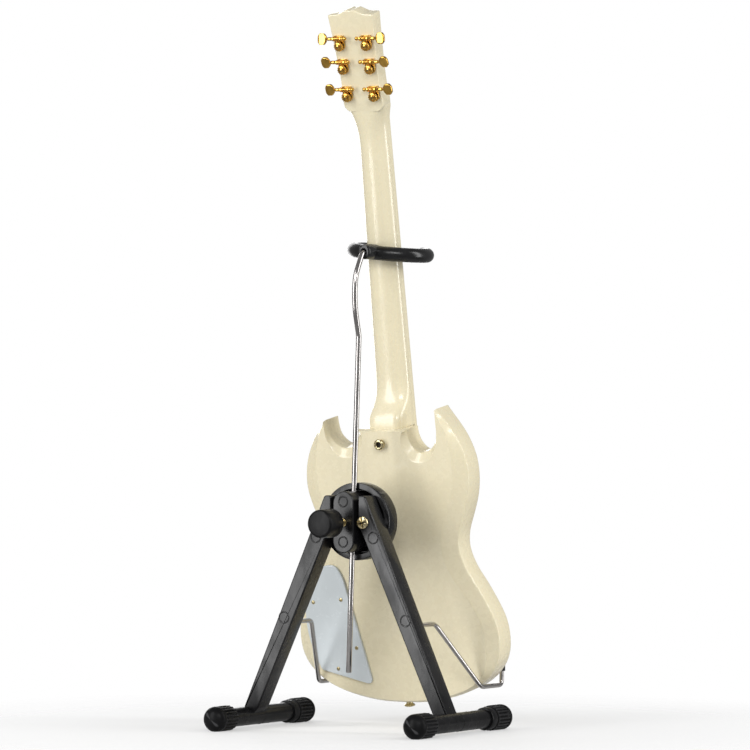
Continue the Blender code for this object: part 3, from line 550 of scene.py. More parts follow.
def close_tree(tree, given, **places):
    """Puts a copy of the piece on each point, and ends in Realize Instances and Set Material."""
    points = tree.nodes.new("GeometryNodePoints")
    piece = tree.nodes.new("GeometryNodeObjectInfo")
    place = tree.nodes.new("GeometryNodeInstanceOnPoints")
    real = tree.nodes.new("GeometryNodeRealizeInstances")
    painted = tree.nodes.new("GeometryNodeSetMaterial")
    result = tree.nodes.new("NodeGroupOutput")
    for source, node, label in (
        (given["Count"], points, "Count"), (given["Piece"], piece, "Object"),
        (points.outputs["Points"], place, "Points"), (piece.outputs["Geometry"], place, "Instance"),
        (place.outputs["Instances"], real, "Geometry"), (real.outputs["Geometry"], painted, "Geometry"),
        (given["Material"], painted, "Material"), (painted.outputs["Geometry"], result, "Geometry"),
    ):
        tree.links.new(source, node.inputs[label])
    for label, source in places.items():
        node = points if label == "Position" else place
        tree.links.new(source, node.inputs[label])
    return tree


def ring_tree():
    """Copies of one piece turned round the Z axis."""
    tree, given = new_tree("ring_of_copies", 12)
    angle = maths(tree, "DIVIDE", maths(tree, "MULTIPLY", copy_number(tree), TAU), given["Count"])
    return close_tree(tree, given, Rotation=vector(tree, z=angle))


def row_tree():
    """Copies of one piece in a straight row along X."""
    tree, given = new_tree("row_of_copies", 6, ("First", 0.0), ("Step", 2 * MM))
    reach = maths(tree, "ADD", maths(tree, "MULTIPLY", copy_number(tree), given["Step"]), given["First"])
    return close_tree(tree, given, Position=vector(tree, x=reach))


def fret_tree():
    """Frets at the twelfth-root-of-two spacing, each as wide as the board is there."""
    tree, given = new_tree(
        "frets", 22, ("Nut", NUT_ALONG), ("Scale Length", SCALE_LENGTH), ("Half Width At Nut", 5.5 * MM),
        ("Widening", 0.0123),
    )
    exponent = maths(tree, "DIVIDE", maths(tree, "ADD", copy_number(tree), 1.0), -12.0)
    share = maths(tree, "SUBTRACT", 1.0, maths(tree, "POWER", 2.0, exponent))
    from_nut = maths(tree, "MULTIPLY", share, given["Scale Length"])
    along = maths(tree, "SUBTRACT", given["Nut"], from_nut)
    wider = maths(tree, "MULTIPLY", from_nut, given["Widening"])
    half = maths(tree, "ADD", wider, given["Half Width At Nut"])
    return close_tree(tree, given, Position=vector(tree, y=along), Scale=vector(tree, half, 1.0, 1.0))


def grow(tree, name, matrix, finish, sample, **values):
    """Runs a tree on a sample piece and keeps its result as a plain mesh placed by matrix."""
    carrier = bpy.data.objects.new(name, bpy.data.meshes.new(name))
    bpy.context.scene.collection.objects.link(carrier)
    modifier = carrier.modifiers.new("copies", "NODES")
    modifier.node_group = tree
    values = {"Piece": sample, "Material": FINISHES[finish], **values}
    for socket in tree.interface.items_tree:
        if socket.in_out == "INPUT" and socket.name in values:
            modifier[socket.identifier] = values[socket.name]
    graph = bpy.context.evaluated_depsgraph_get()
    graph.update()
    mesh = bpy.data.meshes.new_from_object(carrier.evaluated_get(graph))
    carrier.modifiers.clear()
    carrier.data = mesh
    mesh.transform(matrix)
    mesh.shade_smooth()
    mesh.set_sharp_from_angle(angle=math.radians(35))
    bpy.data.objects.remove(sample)
    return carrier


# Guitar body

# Half of the outline in mm, from the bottom up: x, along, width of the bevel
BOUT = [
    (0, 8.1, 1.0), (10, 8.5, 1.0), (21.5, 10.8, 1.0), (30.5, 14.3, 1.2), (36.5, 18.9, 2.2),
    (40.2, 24.5, 4.2), (41.4, 31, 5.3), (40.6, 38, 5.3), (38.0, 44.3, 5.2), (34.2, 51.2, 5.6),
    (30.0, 58, 6.2), (27.8, 64.5, 6.6), (28.2, 70.5, 6.6), (30.6, 77, 6.4), (32.9, 84, 6.2),
]
BASS_HORN = [(33.8, 91, 5.9), (33.2, 98, 5.2), (30.6, 105, 3.6), (26.9, 110.8, 1.6), (22.6, 116.2, 0.3)]
BASS_CUT = [
    (22.6, 116.2, 0.3), (22.5, 111.5, 0.4), (22.2, 107.5, 0.8), (20.7, 103.2, 1.6),
    (17.5, 100.6, 3.2), (14.0, 100.4, 3.6), (11.4, 102.8, 3.2), (10.1, 106, 2.4), (9.8, 108.5, 0.5),
]
TREBLE_HORN = [(33.5, 90, 5.8), (32.4, 97, 4.8), (29.6, 103.5, 3.2), (26.8, 107.6, 1.6), (23.4, 111.7, 0.3)]
TREBLE_CUT = [
    (23.4, 111.7, 0.3), (23.0, 108.5, 0.4), (22.0, 105.5, 1.0), (19.6, 102.9, 2.2),
    (16.5, 101.5, 3.2), (13.2, 102.0, 3.4), (11.1, 104.2, 3.0), (10.0, 106.6, 2.2), (9.8, 108.5, 0.5),
]
BACK_BEVEL = 2.0 * MM
# Share of the bevel's width in from the rim, and of its depth
BEVEL_PROFILE = [
    (1.0, 0), (0.95, 0.015), (0.88, 0.07), (0.8, 0.15), (0.5, 0.46), (0.17, 0.81), (0.08, 0.9), (0.02, 0.99),
    (0, 1.12),
]
# Distance in from the rim, and below the front face, in shares of the front edge's radius
FRONT_PROFILE = [(0, 1.0), (0.08, 0.62), (0.29, 0.29), (0.62, 0.08), (1.0, 0)]
FRONT_RADIUS = 1.0 * MM
# Points to a stretch of the outline. More would cross each other where the bevel runs in
OUTLINE_STEPS = 3


def body_outline(steps):
    """(x, along, bevel width) round the body, from the bottom up the treble side and back down."""
    treble = smooth_path(BOUT + TREBLE_HORN, steps)[:-1] + smooth_path(TREBLE_CUT, steps)
    bass = smooth_path(BOUT + BASS_HORN, steps)[:-1] + smooth_path(BASS_CUT, steps)
    return scaled(treble + [(-x, along, bevel) for x, along, bevel in reversed(bass)][:-1])


def build_body():
    outline = body_outline(OUTLINE_STEPS)
    rings = []
    for share, depth in BEVEL_PROFILE:
        ring = inset(outline, lambda point: point[2] * share)
        rings.append([(x, along, BACK_BEVEL * depth) for x, along in ring])
    for share, depth in FRONT_PROFILE:
        ring = inset(outline, lambda point: min(FRONT_RADIUS, 0.8 * point[2]) * share)
        rings.append([(x, along, BODY_THICKNESS - FRONT_RADIUS * depth) for x, along in ring])
    body = Piece(GUITAR).loft(rings).finish("body_shell", "lacquer", 50)
    settle(body, "guitar", "cream_lacquer", "guitar_body")


# Neck and headstock

NECK_HALF_AT_BODY = 7.0 * MM
NECK_TAPER = 1.4 * MM


def half_width_at(along):
    share = (along - BODY_TOP) / (NUT_ALONG - BODY_TOP)
    return NECK_HALF_AT_BODY - NECK_TAPER * share


# In mm apart from squareness: along, crown, squareness, widening, top
NECK_SECTIONS = [
    (108.52, 2.4, 4, 0, 12.7), (110.5, 2.4, 4, 0, 12.7), (112.2, 2.6, 3.8, 0, 12.7),
    (113.6, 3.3, 3.0, 0, 12.7), (115.0, 4.4, 2.2, 0, 12.7), (116.5, 5.7, 1.5, 0, 12.7),
    (118.2, 6.9, 0.9, 0, 12.7), (120.2, 7.6, 0.4, 0, 12.7), (123, 7.9, 0.1, 0, 12.7),
    (127, 8.0, 0, 0, 12.7), (150, 8.0, 0, 0, 12.7), (180, 8.0, 0, 0, 12.7),
    (206, 8.0, 0, 0, 12.7), (210, 8.0, 0.03, 0.02, 12.7), (214, 7.8, 0.12, 0.2, 12.7),
    (217, 7.5, 0.32, 0.5, 12.7), (219.5, 7.1, 0.65, 0.92, 12.7), (221.8, 6.76, 1.2, 1.4, 12.62),
    (223.2, 6.52, 1.9, 1.8, 12.4), (224.4, 6.35, 3.0, 2.15, 12.25), (225.3, 6.22, 4.6, 2.36, 12.1),
    (226.2, 6.12, 7.0, 2.3, 11.95), (227.2, 6.1, 9.0, 1.7, 11.8),
]


def neck_ring(along, crown, squareness, widen, top, segments=40):
    """A D-shaped section of the neck, from its crown at the back to its flat top."""
    half = half_width_at(along) + widen
    ring = []
    power = 2 / (2 + squareness)
    for step in range(segments + 1):
        angle = math.pi * step / segments
        depth = max(0.0, math.sin(angle)) ** power * (top - crown)
        ring.append((squared_off(math.cos(angle), power) * half, along, top - depth))
    return ring


# Half of the headstock's outline in mm: x, along
HEAD_SIDE = [
    (5.6, 1.2), (6.6, 1.6), (7.5, 2.5), (7.95, 3.5), (8.05, 6), (7.75, 11), (7.95, 18), (8.5, 28),
    (9.15, 36.7),
]
HEAD_TOP = [(9.1, 37.05), (7.6, 37.2), (5.6, 37.3), (4.2, 37.65), (2.7, 38.35), (1.4, 38.8), (0, 38.55)]


def headstock_outline():
    half = scaled(smooth_path(HEAD_SIDE, 4) + smooth_path(HEAD_TOP, 4))
    return half + [(-x, along) for x, along in reversed(half[:-1])]


def post_places():
    """(name, x, along, side) of each tuner post on the headstock."""
    inverse = HEAD.inverted()
    for side, sign in (("bass", -1), ("treble", 1)):
        for number in range(1, 4):
            place = inverse @ joint_place(f"post_{side}_{number}_turn")
            yield f"{side}_{number}", place.x, place.y, sign


def build_neck():
    neck = Piece(GUITAR)
    neck.loft([
        neck_ring(along * MM, crown * MM, squareness, widen * MM, top * MM)
        for along, crown, squareness, widen, top in NECK_SECTIONS
    ])
    start, end = BODY_TOP + 0.4 * MM, NUT_ALONG + 0.9 * MM
    at_body, at_nut = half_width_at(BODY_TOP), half_width_at(NUT_ALONG)
    ledge = [(-at_nut, end), (at_nut, end), (at_body, start), (-at_body, start)]
    neck.plate(ledge, NECK_TOP - 1 * MM, BOARD_LOW, 0.02 * MM)
    tenon = rounded_box(6.6 * MM, 2.5 * MM, 0.4 * MM, (0, BODY_TOP - 1.5 * MM))
    neck.plate(tenon, BODY_THICKNESS + 0.3 * MM, NECK_TOP, 0.1 * MM)
    neck.plate(headstock_outline(), 0, HEAD_THICKNESS, 0.35 * MM, GUITAR.inverted() @ HEAD, 4)
    settle(neck.finish("neck_and_headstock", "lacquer", 38), "guitar", "cream_lacquer", "neck")
    bushings = Piece(HEAD)
    for _, x, along, _ in post_places():
        bushings.lathe(scaled([(1.15, 6.02), (1.15, 6.5), (1.9, 6.5), (2.0, 6.35), (2.0, 6.02)]),
                       shift(x, along, 0), 24)
    settle(bushings.finish("post_bushings", "gold"), "guitar", "gold_plate")


# Fretboard, nut and strings

STRING_AT_NUT = BOARD_TOP + 0.55 * MM
STRING_AT_BRIDGE = BODY_THICKNESS + 4.55 * MM
BRIDGE_ALONG = NUT_ALONG - SCALE_LENGTH
TAIL_ALONG = BRIDGE_ALONG - 11 * MM
# The outer strings' distance from the middle, at the nut and at the bridge
NUT_SPREAD = 4.5 * MM
STRING_SPREAD = 5.2 * MM
STRINGS = ("bass_1", "bass_2", "bass_3", "treble_3", "treble_2", "treble_1")
STRING_PITCH = 2 * STRING_SPREAD / (len(STRINGS) - 1)
STRING_WINDING = 1.05 * MM
FRET_HALF = 0.28 * MM
INLAY_FRETS = (3, 5, 7, 9, 12, 15, 17, 19, 21)


def fret_along(number):
    return NUT_ALONG - SCALE_LENGTH * (1 - 2 ** (-number / 12))


def build_fretboard(count):
    start, end = BODY_TOP - 3.6 * MM, NUT_ALONG - 0.8 * MM
    low, high = half_width_at(start), half_width_at(end)
    outline = [(-low, start), (low, start), (high, end), (-high, end)]
    board = Piece(GUITAR).plate(outline, BOARD_LOW, BOARD_TOP, 0.18 * MM)
    settle(board.finish("fretboard_wood", "fretboard"), "guitar", "dark_fretboard", "fretboard")

    binding = Piece(GUITAR)
    for side in (-1, 1):
        rail = [(side * (low + 0.06 * MM), start), (side * (low - 0.42 * MM), start),
                (side * (high - 0.42 * MM), end), (side * (high + 0.06 * MM), end)]
        binding.plate(rail, BOARD_LOW - 0.1 * MM, BOARD_TOP + 0.03 * MM, 0.08 * MM)
    settle(binding.finish("fretboard_binding", "lacquer"), "guitar", "cream_lacquer")

    bead = Piece(IDENTITY)
    bead.plate(box_outline(1, FRET_HALF), BOARD_TOP - 0.5 * MM, BOARD_TOP + 0.24 * MM, 0.16 * MM)
    frets = grow(fret_tree(), "fret_wires", GUITAR, "steel", bead.finish("fret_sample", "steel"), Count=count)
    settle(frets, "guitar", "bright_steel")

    inlays = Piece(GUITAR)
    for number in INLAY_FRETS:
        if fret_along(number) < start + 2 * MM:
            continue
        middle = (fret_along(number) + fret_along(number - 1)) / 2
        tall = (fret_along(number - 1) - fret_along(number)) * 0.32
        wide = half_width_at(middle) * 0.62
        block = [(-wide, middle - tall), (wide, middle - tall), (wide * 0.84, middle + tall),
                 (-wide * 0.84, middle + tall)]
        inlays.plate(block, BOARD_TOP - 0.3 * MM, BOARD_TOP + 0.04 * MM, 0.03 * MM)
    settle(inlays.finish("fret_markers", "pearl"), "guitar", "bone_plastic")

    nut = Piece(GUITAR)
    nut.plate(rounded_box(5.6 * MM, 0.7 * MM, 0.25 * MM, (0, NUT_ALONG + 0.2 * MM)), BOARD_LOW,
              NECK_TOP + 2.55 * MM, 0.2 * MM)
    settle(nut.finish("nut_piece", "bone"), "guitar", "bone_plastic", "nut")


def build_strings(thickest, thinnest):
    strings = Piece(GUITAR)
    to_guitar = GUITAR.inverted() @ HEAD
    posts = {
        name: to_guitar @ Vector((x, along, HEAD_THICKNESS + 2.4 * MM)) for name, x, along, _ in post_places()
    }
    last = len(STRINGS) - 1
    for number, name in enumerate(STRINGS):
        share = number / last * 2 - 1
        thick = thickest - (thickest - thinnest) * number / last
        post = posts[name]
        side = 1 if share < 0 else -1
        strings.tube([
            (share * STRING_SPREAD, TAIL_ALONG + 0.6 * MM, BODY_THICKNESS + 3.6 * MM),
            (share * STRING_SPREAD, BRIDGE_ALONG - 0.3 * MM, STRING_AT_BRIDGE - 0.02 * MM),
            (share * STRING_SPREAD, BRIDGE_ALONG, STRING_AT_BRIDGE),
            (share * NUT_SPREAD, NUT_ALONG, STRING_AT_NUT),
            (share * NUT_SPREAD, NUT_ALONG + 0.9 * MM, STRING_AT_NUT - 0.08 * MM),
            (post.x + side * STRING_WINDING, post.y - 0.4 * MM, post.z),
        ], thick, 8)
        coils = helix(STRING_WINDING, 0, -0.9 * MM, 3, 16)
        strings.tube([(post.x + side * x, post.y + y, post.z + z) for x, y, z in coils], thick, 8)
    settle(strings.finish("strings", "steel"), "guitar", "bright_steel")


# Pickups, bridge and tailpiece

def string_row(name, at, sample):
    """A copy of the sample under each string."""
    row = grow(row_tree(), name, GUITAR @ at, "brass", sample, Count=len(STRINGS), First=-STRING_SPREAD,
               Step=STRING_PITCH)
    settle(row, "guitar", "gold_plate")


def build_pickups():
    for name in ("neck", "middle", "bridge"):
        along = middle_of(f"pickup_{name}", GUITAR).y
        at = shift(0, along, 0)
        pickup = Piece(GUITAR)
        pickup.plate(rounded_box(10.3 * MM, 5.6 * MM, 0.8 * MM), BODY_THICKNESS + 0.05 * MM,
                     BODY_THICKNESS + 1.3 * MM, 0.3 * MM, at)
        pickup.plate(rounded_box(8.6 * MM, 4.5 * MM, 0.9 * MM), BODY_THICKNESS + 0.8 * MM,
                     BODY_THICKNESS + 2.9 * MM, 0.45 * MM, at, 4)
        for side in (-1, 1):
            pickup.lathe(scaled([(0, 1.75), (0.35, 1.72), (0.62, 1.5), (0.62, 1.2), (0, 1.2)]),
                         shift(side * 9.5 * MM, along, BODY_THICKNESS), 16)
        settle(pickup.finish(f"pickup_{name}_cover", "gold"), "guitar", "gold_plate", f"pickup_{name}")
        pole = Piece(IDENTITY)
        pole.lathe(scaled([(0, 3.12), (0.3, 3.1), (0.48, 2.98), (0.48, 2.7), (0, 2.7)]), steps=16)
        string_row(f"pickup_{name}_poles", shift(0, along + 2.1 * MM, BODY_THICKNESS),
                   pole.finish("pole_sample", "brass"))


def build_bridge():
    bridge = Piece(GUITAR)
    bridge.plate(rounded_box(10.5 * MM, 1.4 * MM, 1.1 * MM), BODY_THICKNESS + 2.4 * MM,
                 BODY_THICKNESS + 4.0 * MM, 0.3 * MM, shift(0, BRIDGE_ALONG, 0))
    for side in (-1, 1):
        bridge.lathe(scaled([
            (0, 4.4), (0.7, 4.4), (0.9, 4.2), (0.9, 2.4), (0.6, 2.3), (0.6, 1.2), (1.7, 1.1), (1.8, 0.9),
            (1.8, 0.4), (1.6, 0.05), (0, 0.05),
        ]), shift(side * 9.2 * MM, BRIDGE_ALONG, BODY_THICKNESS), 24)
    settle(bridge.finish("bridge_body", "gold"), "guitar", "gold_plate", "bridge")
    saddle = Piece(IDENTITY).plate(box_outline(0.75 * MM, 1.1 * MM), 3.8 * MM, 4.42 * MM, 0.15 * MM)
    string_row("bridge_saddles", shift(0, BRIDGE_ALONG, BODY_THICKNESS),
               saddle.finish("saddle_sample", "brass"))

    tail = Piece(GUITAR)
    tail.plate(rounded_box(11.2 * MM, 1.7 * MM, 1.4 * MM), BODY_THICKNESS + 1.6 * MM,
               BODY_THICKNESS + 3.8 * MM, 0.8 * MM, shift(0, TAIL_ALONG, 0), 5)
    for side in (-1, 1):
        tail.lathe(scaled([
            (0, 4.1), (1.1, 4.1), (1.3, 3.9), (1.3, 1.4), (0.9, 1.3), (0.9, 0.5), (1.5, 0.4), (1.5, 0.05),
            (0, 0.05),
        ]), shift(side * 10.2 * MM, TAIL_ALONG, BODY_THICKNESS), 24)
    settle(tail.finish("tailpiece_bar", "gold"), "guitar", "gold_plate", "tailpiece")


# Controls, covers and strap buttons

def joint_at(name, frame_matrix):
    """The place of a joint in one of the drawing frames, unturned."""
    return Matrix.Translation(frame_matrix.inverted() @ joint_place(name))


def middle_of(node, frame_matrix):
    """The middle of a CAD node's box in one of the drawing frames."""
    low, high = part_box(node)
    return frame_matrix.inverted() @ ((low + high) / 2)


def on_front(node):
    """The place on the body's front face of a CAD node that stands there."""
    middle = middle_of(node, GUITAR)
    return shift(middle.x, middle.y, BODY_THICKNESS)


def build_knobs(ribs_each):
    for name in ("volume_neck", "volume_bridge", "tone_neck", "tone_bridge"):
        at = joint_at(f"knob_{name}_turn", GUITAR)
        body = f"knob_{name}"
        knob = Piece(GUITAR)
        knob.lathe(scaled([
            (0, 3.45), (1.75, 3.45), (1.95, 3.58), (2.1, 3.5), (2.2, 3.3), (2.45, 1.1), (2.6, 0.6),
            (2.6, 0.3), (0, 0.3),
        ]), at, 40)
        settle(knob.finish(f"control_{name}", "gold"), body, "gold_plate", body)
        rib = Piece(IDENTITY).tube(scaled([(2.2, 0, 3.2), (2.32, 0, 2.2), (2.44, 0, 1.2)]), 0.09 * MM, 6)
        ribs = grow(ring_tree(), f"control_{name}_ribs", GUITAR @ at, "gold",
                    rib.finish("rib_sample", "gold"), Count=ribs_each)
        settle(ribs, body, "gold_plate")
        mark = rounded_box(0.14 * MM, 0.6 * MM, 0.1 * MM, (0, 1.05 * MM))
        tick = Piece(GUITAR).plate(mark, 3.4 * MM, 3.52 * MM, 0.03 * MM, at)
        settle(tick.finish(f"control_{name}_mark", "recess"), body, "gold_plate")


def build_switch():
    at = on_front("toggle_base")
    base = Piece(GUITAR)
    base.plate(rounded_box(1.4 * MM, 1.4 * MM, 0.2 * MM), 0.9 * MM, 1.3 * MM, 0.08 * MM, at)
    base.lathe(scaled([
        (0.75, 0.05), (0.75, 1.75), (1.15, 1.75), (1.2, 1.6), (1.2, 0.8), (2.1, 0.75), (2.2, 0.6),
        (2.2, 0.05),
    ]), at, 32)
    settle(base.finish("toggle_nut", "gold"), "guitar", "gold_plate", "toggle_base")
    lever = Piece(GUITAR)
    lever.lathe(scaled([
        (0, 5.2), (0.35, 5.17), (0.65, 5.0), (0.82, 4.7), (0.84, 4.4), (0.75, 3.8), (0.5, 3.3), (0.38, 3.1),
        (0.35, 1.0), (0, 0.9),
    ]), at, 24)
    settle(lever.finish("toggle_stick", "bone"), "toggle", "bone_plastic", "toggle_lever")


def build_jack():
    at = on_front("output_jack")
    jack = Piece(GUITAR)
    jack.lathe(scaled([
        (0.8, 0.05), (0.8, 1.7), (1.15, 1.7), (1.25, 1.55), (1.25, 0.6), (2.3, 0.55), (2.4, 0.4), (2.4, 0.05),
    ]), at, 32)
    hexagon = [on_circle(1.75 * MM, i / 6) for i in range(6)]
    jack.plate(hexagon, 0.6 * MM, 1.15 * MM, 0.1 * MM, at)
    settle(jack.finish("jack_socket", "gold"), "guitar", "gold_plate", "output_jack")
    # A dark disc in the jack's bore, painted shade for its inside.
    hole = Piece(GUITAR).lathe(scaled([(0, 0.9), (0.79, 0.9), (0.79, 0.2), (0, 0.2)]), at, 24)
    settle(hole.finish("jack_hole", "recess"), "guitar", "gold_plate")


# Flat plates in mm: x, along, radius of the corner
PICKGUARD = [
    (10.8, 63, 2.0), (17.5, 60.5, 3.5), (22.0, 68, 4.0), (24.0, 88, 5.0), (19.5, 99.5, 3.0), (10.8, 97, 2.0),
]
ROD_COVER = [(-2.4, 3.2, 0.8), (2.4, 3.2, 0.8), (1.3, 10.6, 0.9), (-1.3, 10.6, 0.9)]


def build_front_plates():
    for name, node, frame_matrix, corners, face, gap in (
        ("pickguard_plate", "pickguard", GUITAR, PICKGUARD, BODY_THICKNESS, 0.3 * MM),
        ("truss_cover_plate", "truss_rod_cover", HEAD, ROD_COVER, HEAD_THICKNESS, 0.1 * MM),
    ):
        outline = rounded_corners(scaled(corners))
        plate = Piece(frame_matrix).plate(outline, face + gap, face + 0.9 * MM, 0.2 * MM)
        settle(plate.finish(name, "pale"), "guitar", "pale_plastic", node)


def screw_head(piece, at, radius, rise, slot):
    """A domed head with a cross recess, drawn as a dish and four raised quarters."""
    piece.lathe([
        (0, rise * 0.3), (radius * 0.8, rise * 0.3), (radius * 0.96, rise * 0.22), (radius, 0.0),
        (radius, -rise * 0.5), (0, -rise * 0.5),
    ], at, 28)
    reach = radius * 0.62
    rim = [on_circle(radius * 0.94, (0.06 + 0.88 * step / 8) / 4) for step in range(9)]
    outline = [(slot, slot), (reach, slot)] + [(max(x, slot), max(y, slot)) for x, y in rim] + [(slot, reach)]
    middle = (radius * 0.5, radius * 0.5)
    for quarter in range(4):
        rings = []
        for share, height in ((1.0, 0.0), (1.0, 0.85), (0.92, 1.0), (0.6, 1.0), (0.25, 1.0)):
            ring = []
            for x, y in outline:
                x, y = middle[0] + (x - middle[0]) * share, middle[1] + (y - middle[1]) * share
                far = min(1.0, math.hypot(x, y) / radius)
                ring.append((x, y, rise * (0.2 + height * (0.8 - 0.7 * far * far))))
            rings.append(ring)
        piece.loft(rings, at @ spin(TAU / 4 * quarter, "Z"))


COVER_THICKNESS = 0.8 * MM
# In mm: x, along, radius of the corner
COVER_OUTLINE = [
    (10.6, 14.6, 3.2), (20.0, 54.0, 2.5), (22.6, 58.6, 2.4), (28.4, 58.6, 3.0), (36.6, 46.0, 6.0),
    (36.8, 33.0, 6.0), (31.8, 19.8, 1.2),
]
COVER_FACE = -0.3 * MM - COVER_THICKNESS


def build_back_cover():
    cover = Piece(GUITAR)
    cover.plate(rounded_corners(scaled(COVER_OUTLINE), 10), COVER_FACE, -0.02 * MM, 0.05 * MM, arc=4,
                low_edge=0.28 * MM)
    settle(cover.finish("control_cover_plate", "pale"), "guitar", "pale_plastic", "control_cover")
    for number in range(1, 5):
        middle = middle_of(f"cover_screw_{number}", GUITAR)
        at = shift(middle.x, middle.y, COVER_FACE) @ FLIP @ spin(0.5 * number, "Z")
        screw = Piece(GUITAR)
        screw_head(screw, at, 0.72 * MM, 0.42 * MM, 0.12 * MM)
        settle(screw.finish(f"cover_screw_head_{number}", "brass"), "guitar", "brass_screws",
               f"cover_screw_{number}")


def build_strap_buttons():
    profile = scaled([
        (0.95, 1.6), (1.0, 2.15), (1.15, 2.28), (1.45, 2.3), (1.75, 2.2), (1.95, 2.0), (2.0, 1.8),
        (1.85, 1.6), (1.35, 1.25), (1.15, 0.9), (1.2, 0.6), (1.55, 0.25), (1.6, 0.05), (0.95, 0.05),
    ])
    bore = scaled([(0, 1.0), (0.96, 1.05), (0.96, 0.1), (0, 0.1)])
    for name, at in (
        ("heel", shift(0, 103.5 * MM, 0) @ FLIP),
        ("end", shift(0, 8.1 * MM, 5.75 * MM) @ spin(TAU / 4, "X")),
    ):
        button = Piece(GUITAR).lathe(profile, at, 36)
        settle(button.finish(f"strap_pin_{name}", "brass"), "guitar", "gold_plate", f"strap_button_{name}")
        # A dark plug in the button's bore, painted shade for its inside.
        hole = Piece(GUITAR).lathe(bore, at, 16)
        settle(hole.finish(f"strap_pin_{name}_hole", "recess"), "guitar", "gold_plate")


# Tuners

# Degrees each button is turned from standing along the headstock
BUTTON_TURNS = {
    "bass_1": -8, "bass_2": -16, "bass_3": 10, "treble_1": -4, "treble_2": -11, "treble_3": 17,
}
GEAR_TEETH = 14
# How far the middle of each side's buttons stands from the worm's middle, in mm
BUTTON_REACH = {"bass": 6.7, "treble": 6.1}
# Across the button in mm: place, half thickness, half height, then the power that squares the section
BUTTON_SECTIONS = [
    (-1.75, 0.45, 0.5, 1.0), (-1.68, 0.5, 0.9, 0.7), (-1.55, 0.54, 1.15, 0.5), (-1.2, 0.58, 1.55, 0.3),
    (-0.8, 0.60, 1.95, 0.24), (-0.6, 0.60, 2.05, 0.24), (0.75, 0.60, 2.08, 0.24), (0.95, 0.60, 1.98, 0.24),
    (1.35, 0.58, 1.55, 0.3), (1.6, 0.52, 1.25, 0.4), (1.7, 0.42, 1.1, 0.5), (1.75, 0.28, 0.95, 0.6),
]


def button_rings(reach, turn, sign):
    """Sections of a flat eight-sided button across the worm's axis."""
    rings = []
    for across, thick, high, power in BUTTON_SECTIONS:
        ring = []
        for step in range(40):
            angle = TAU * (step + 0.5) / 40
            flat = squared_off(math.cos(angle), power) * high
            deep = squared_off(math.sin(angle), power) * thick
            ring.append((
                sign * (reach + across) * MM, (flat * math.cos(turn) - deep * math.sin(turn)) * MM,
                (flat * math.sin(turn) + deep * math.cos(turn)) * MM,
            ))
        rings.append(ring)
    return rings


def build_tuners():
    for name, x, along, sign in post_places():
        here = shift(x, along, 0)
        worm_at = HEAD.inverted() @ joint_place(f"worm_{name}_turn")
        along_worm = Matrix.Translation(worm_at) @ spin(sign * TAU / 4, "Y")
        build_tuner_plate(name, here, along_worm, worm_at.y - along, worm_at.z)
        build_tuner_worm(name, worm_at, along_worm, sign)
        build_tuner_post(name, here, 0.7 * along / MM)


def build_tuner_plate(name, here, along_worm, up, low):
    """The plate round a post, and the two bearings of its worm."""
    half = 1.88 * MM
    base = Piece(HEAD)
    outline = [on_circle(half, 0.5 + step / 32) for step in range(17)]
    outline += [(half, up + 0.8 * MM), (-half, up + 0.8 * MM)]
    base.plate(outline, -0.85 * MM, -0.02 * MM, 0.1 * MM, here, low_edge=0.2 * MM)
    for side in (-1, 1):
        middle = side * 1.5
        foot = rounded_box(0.3 * MM, 0.62 * MM, 0.1 * MM, (middle * MM, up))
        base.plate(foot, low + 0.3 * MM, -0.5 * MM, 0.05 * MM, here)
        base.lathe(scaled([
            (0.58, middle - 0.32), (0.8, middle - 0.32), (0.88, middle - 0.24), (0.88, middle + 0.24),
            (0.8, middle + 0.32), (0.58, middle + 0.32),
        ]), along_worm, 28)
    settle(base.finish(f"tuner_base_{name}", "gold"), "guitar", "gold_plate", f"tuner_plate_{name}")


def build_tuner_worm(name, worm_at, along_worm, sign):
    """The worm's shaft and thread, with its button at one end."""
    reach = BUTTON_REACH[name.split("_")[0]]
    worm = Piece(HEAD)
    worm.lathe(scaled([
        (0, reach - 1.4), (0.47, reach - 1.4), (0.47, reach - 2.0), (0.6, reach - 2.2), (0.66, reach - 2.5),
        (0.66, 2.2), (0.56, 2.0), (0.55, 1.2), (0.52, 1.1), (0.52, -1.1), (0.55, -1.2), (0.55, -1.9),
        (0.40, -2.0), (0.38, -2.25), (0.55, -2.42), (0.72, -2.68), (0.78, -2.98), (0.72, -3.28), (0.55, -3.5),
        (0.3, -3.62), (0, -3.66),
    ]), along_worm, 28)
    worm.tube(helix(0.56 * MM, -1.1 * MM, 1.1 * MM, 5, 12), 0.16 * MM, 8, along_worm)
    worm.loft(button_rings(reach, math.radians(BUTTON_TURNS[name]), sign), Matrix.Translation(worm_at))
    settle(worm.finish(f"tuner_button_{name}", "gold"), f"worm_{name}", "gold_plate", f"tuner_worm_{name}")


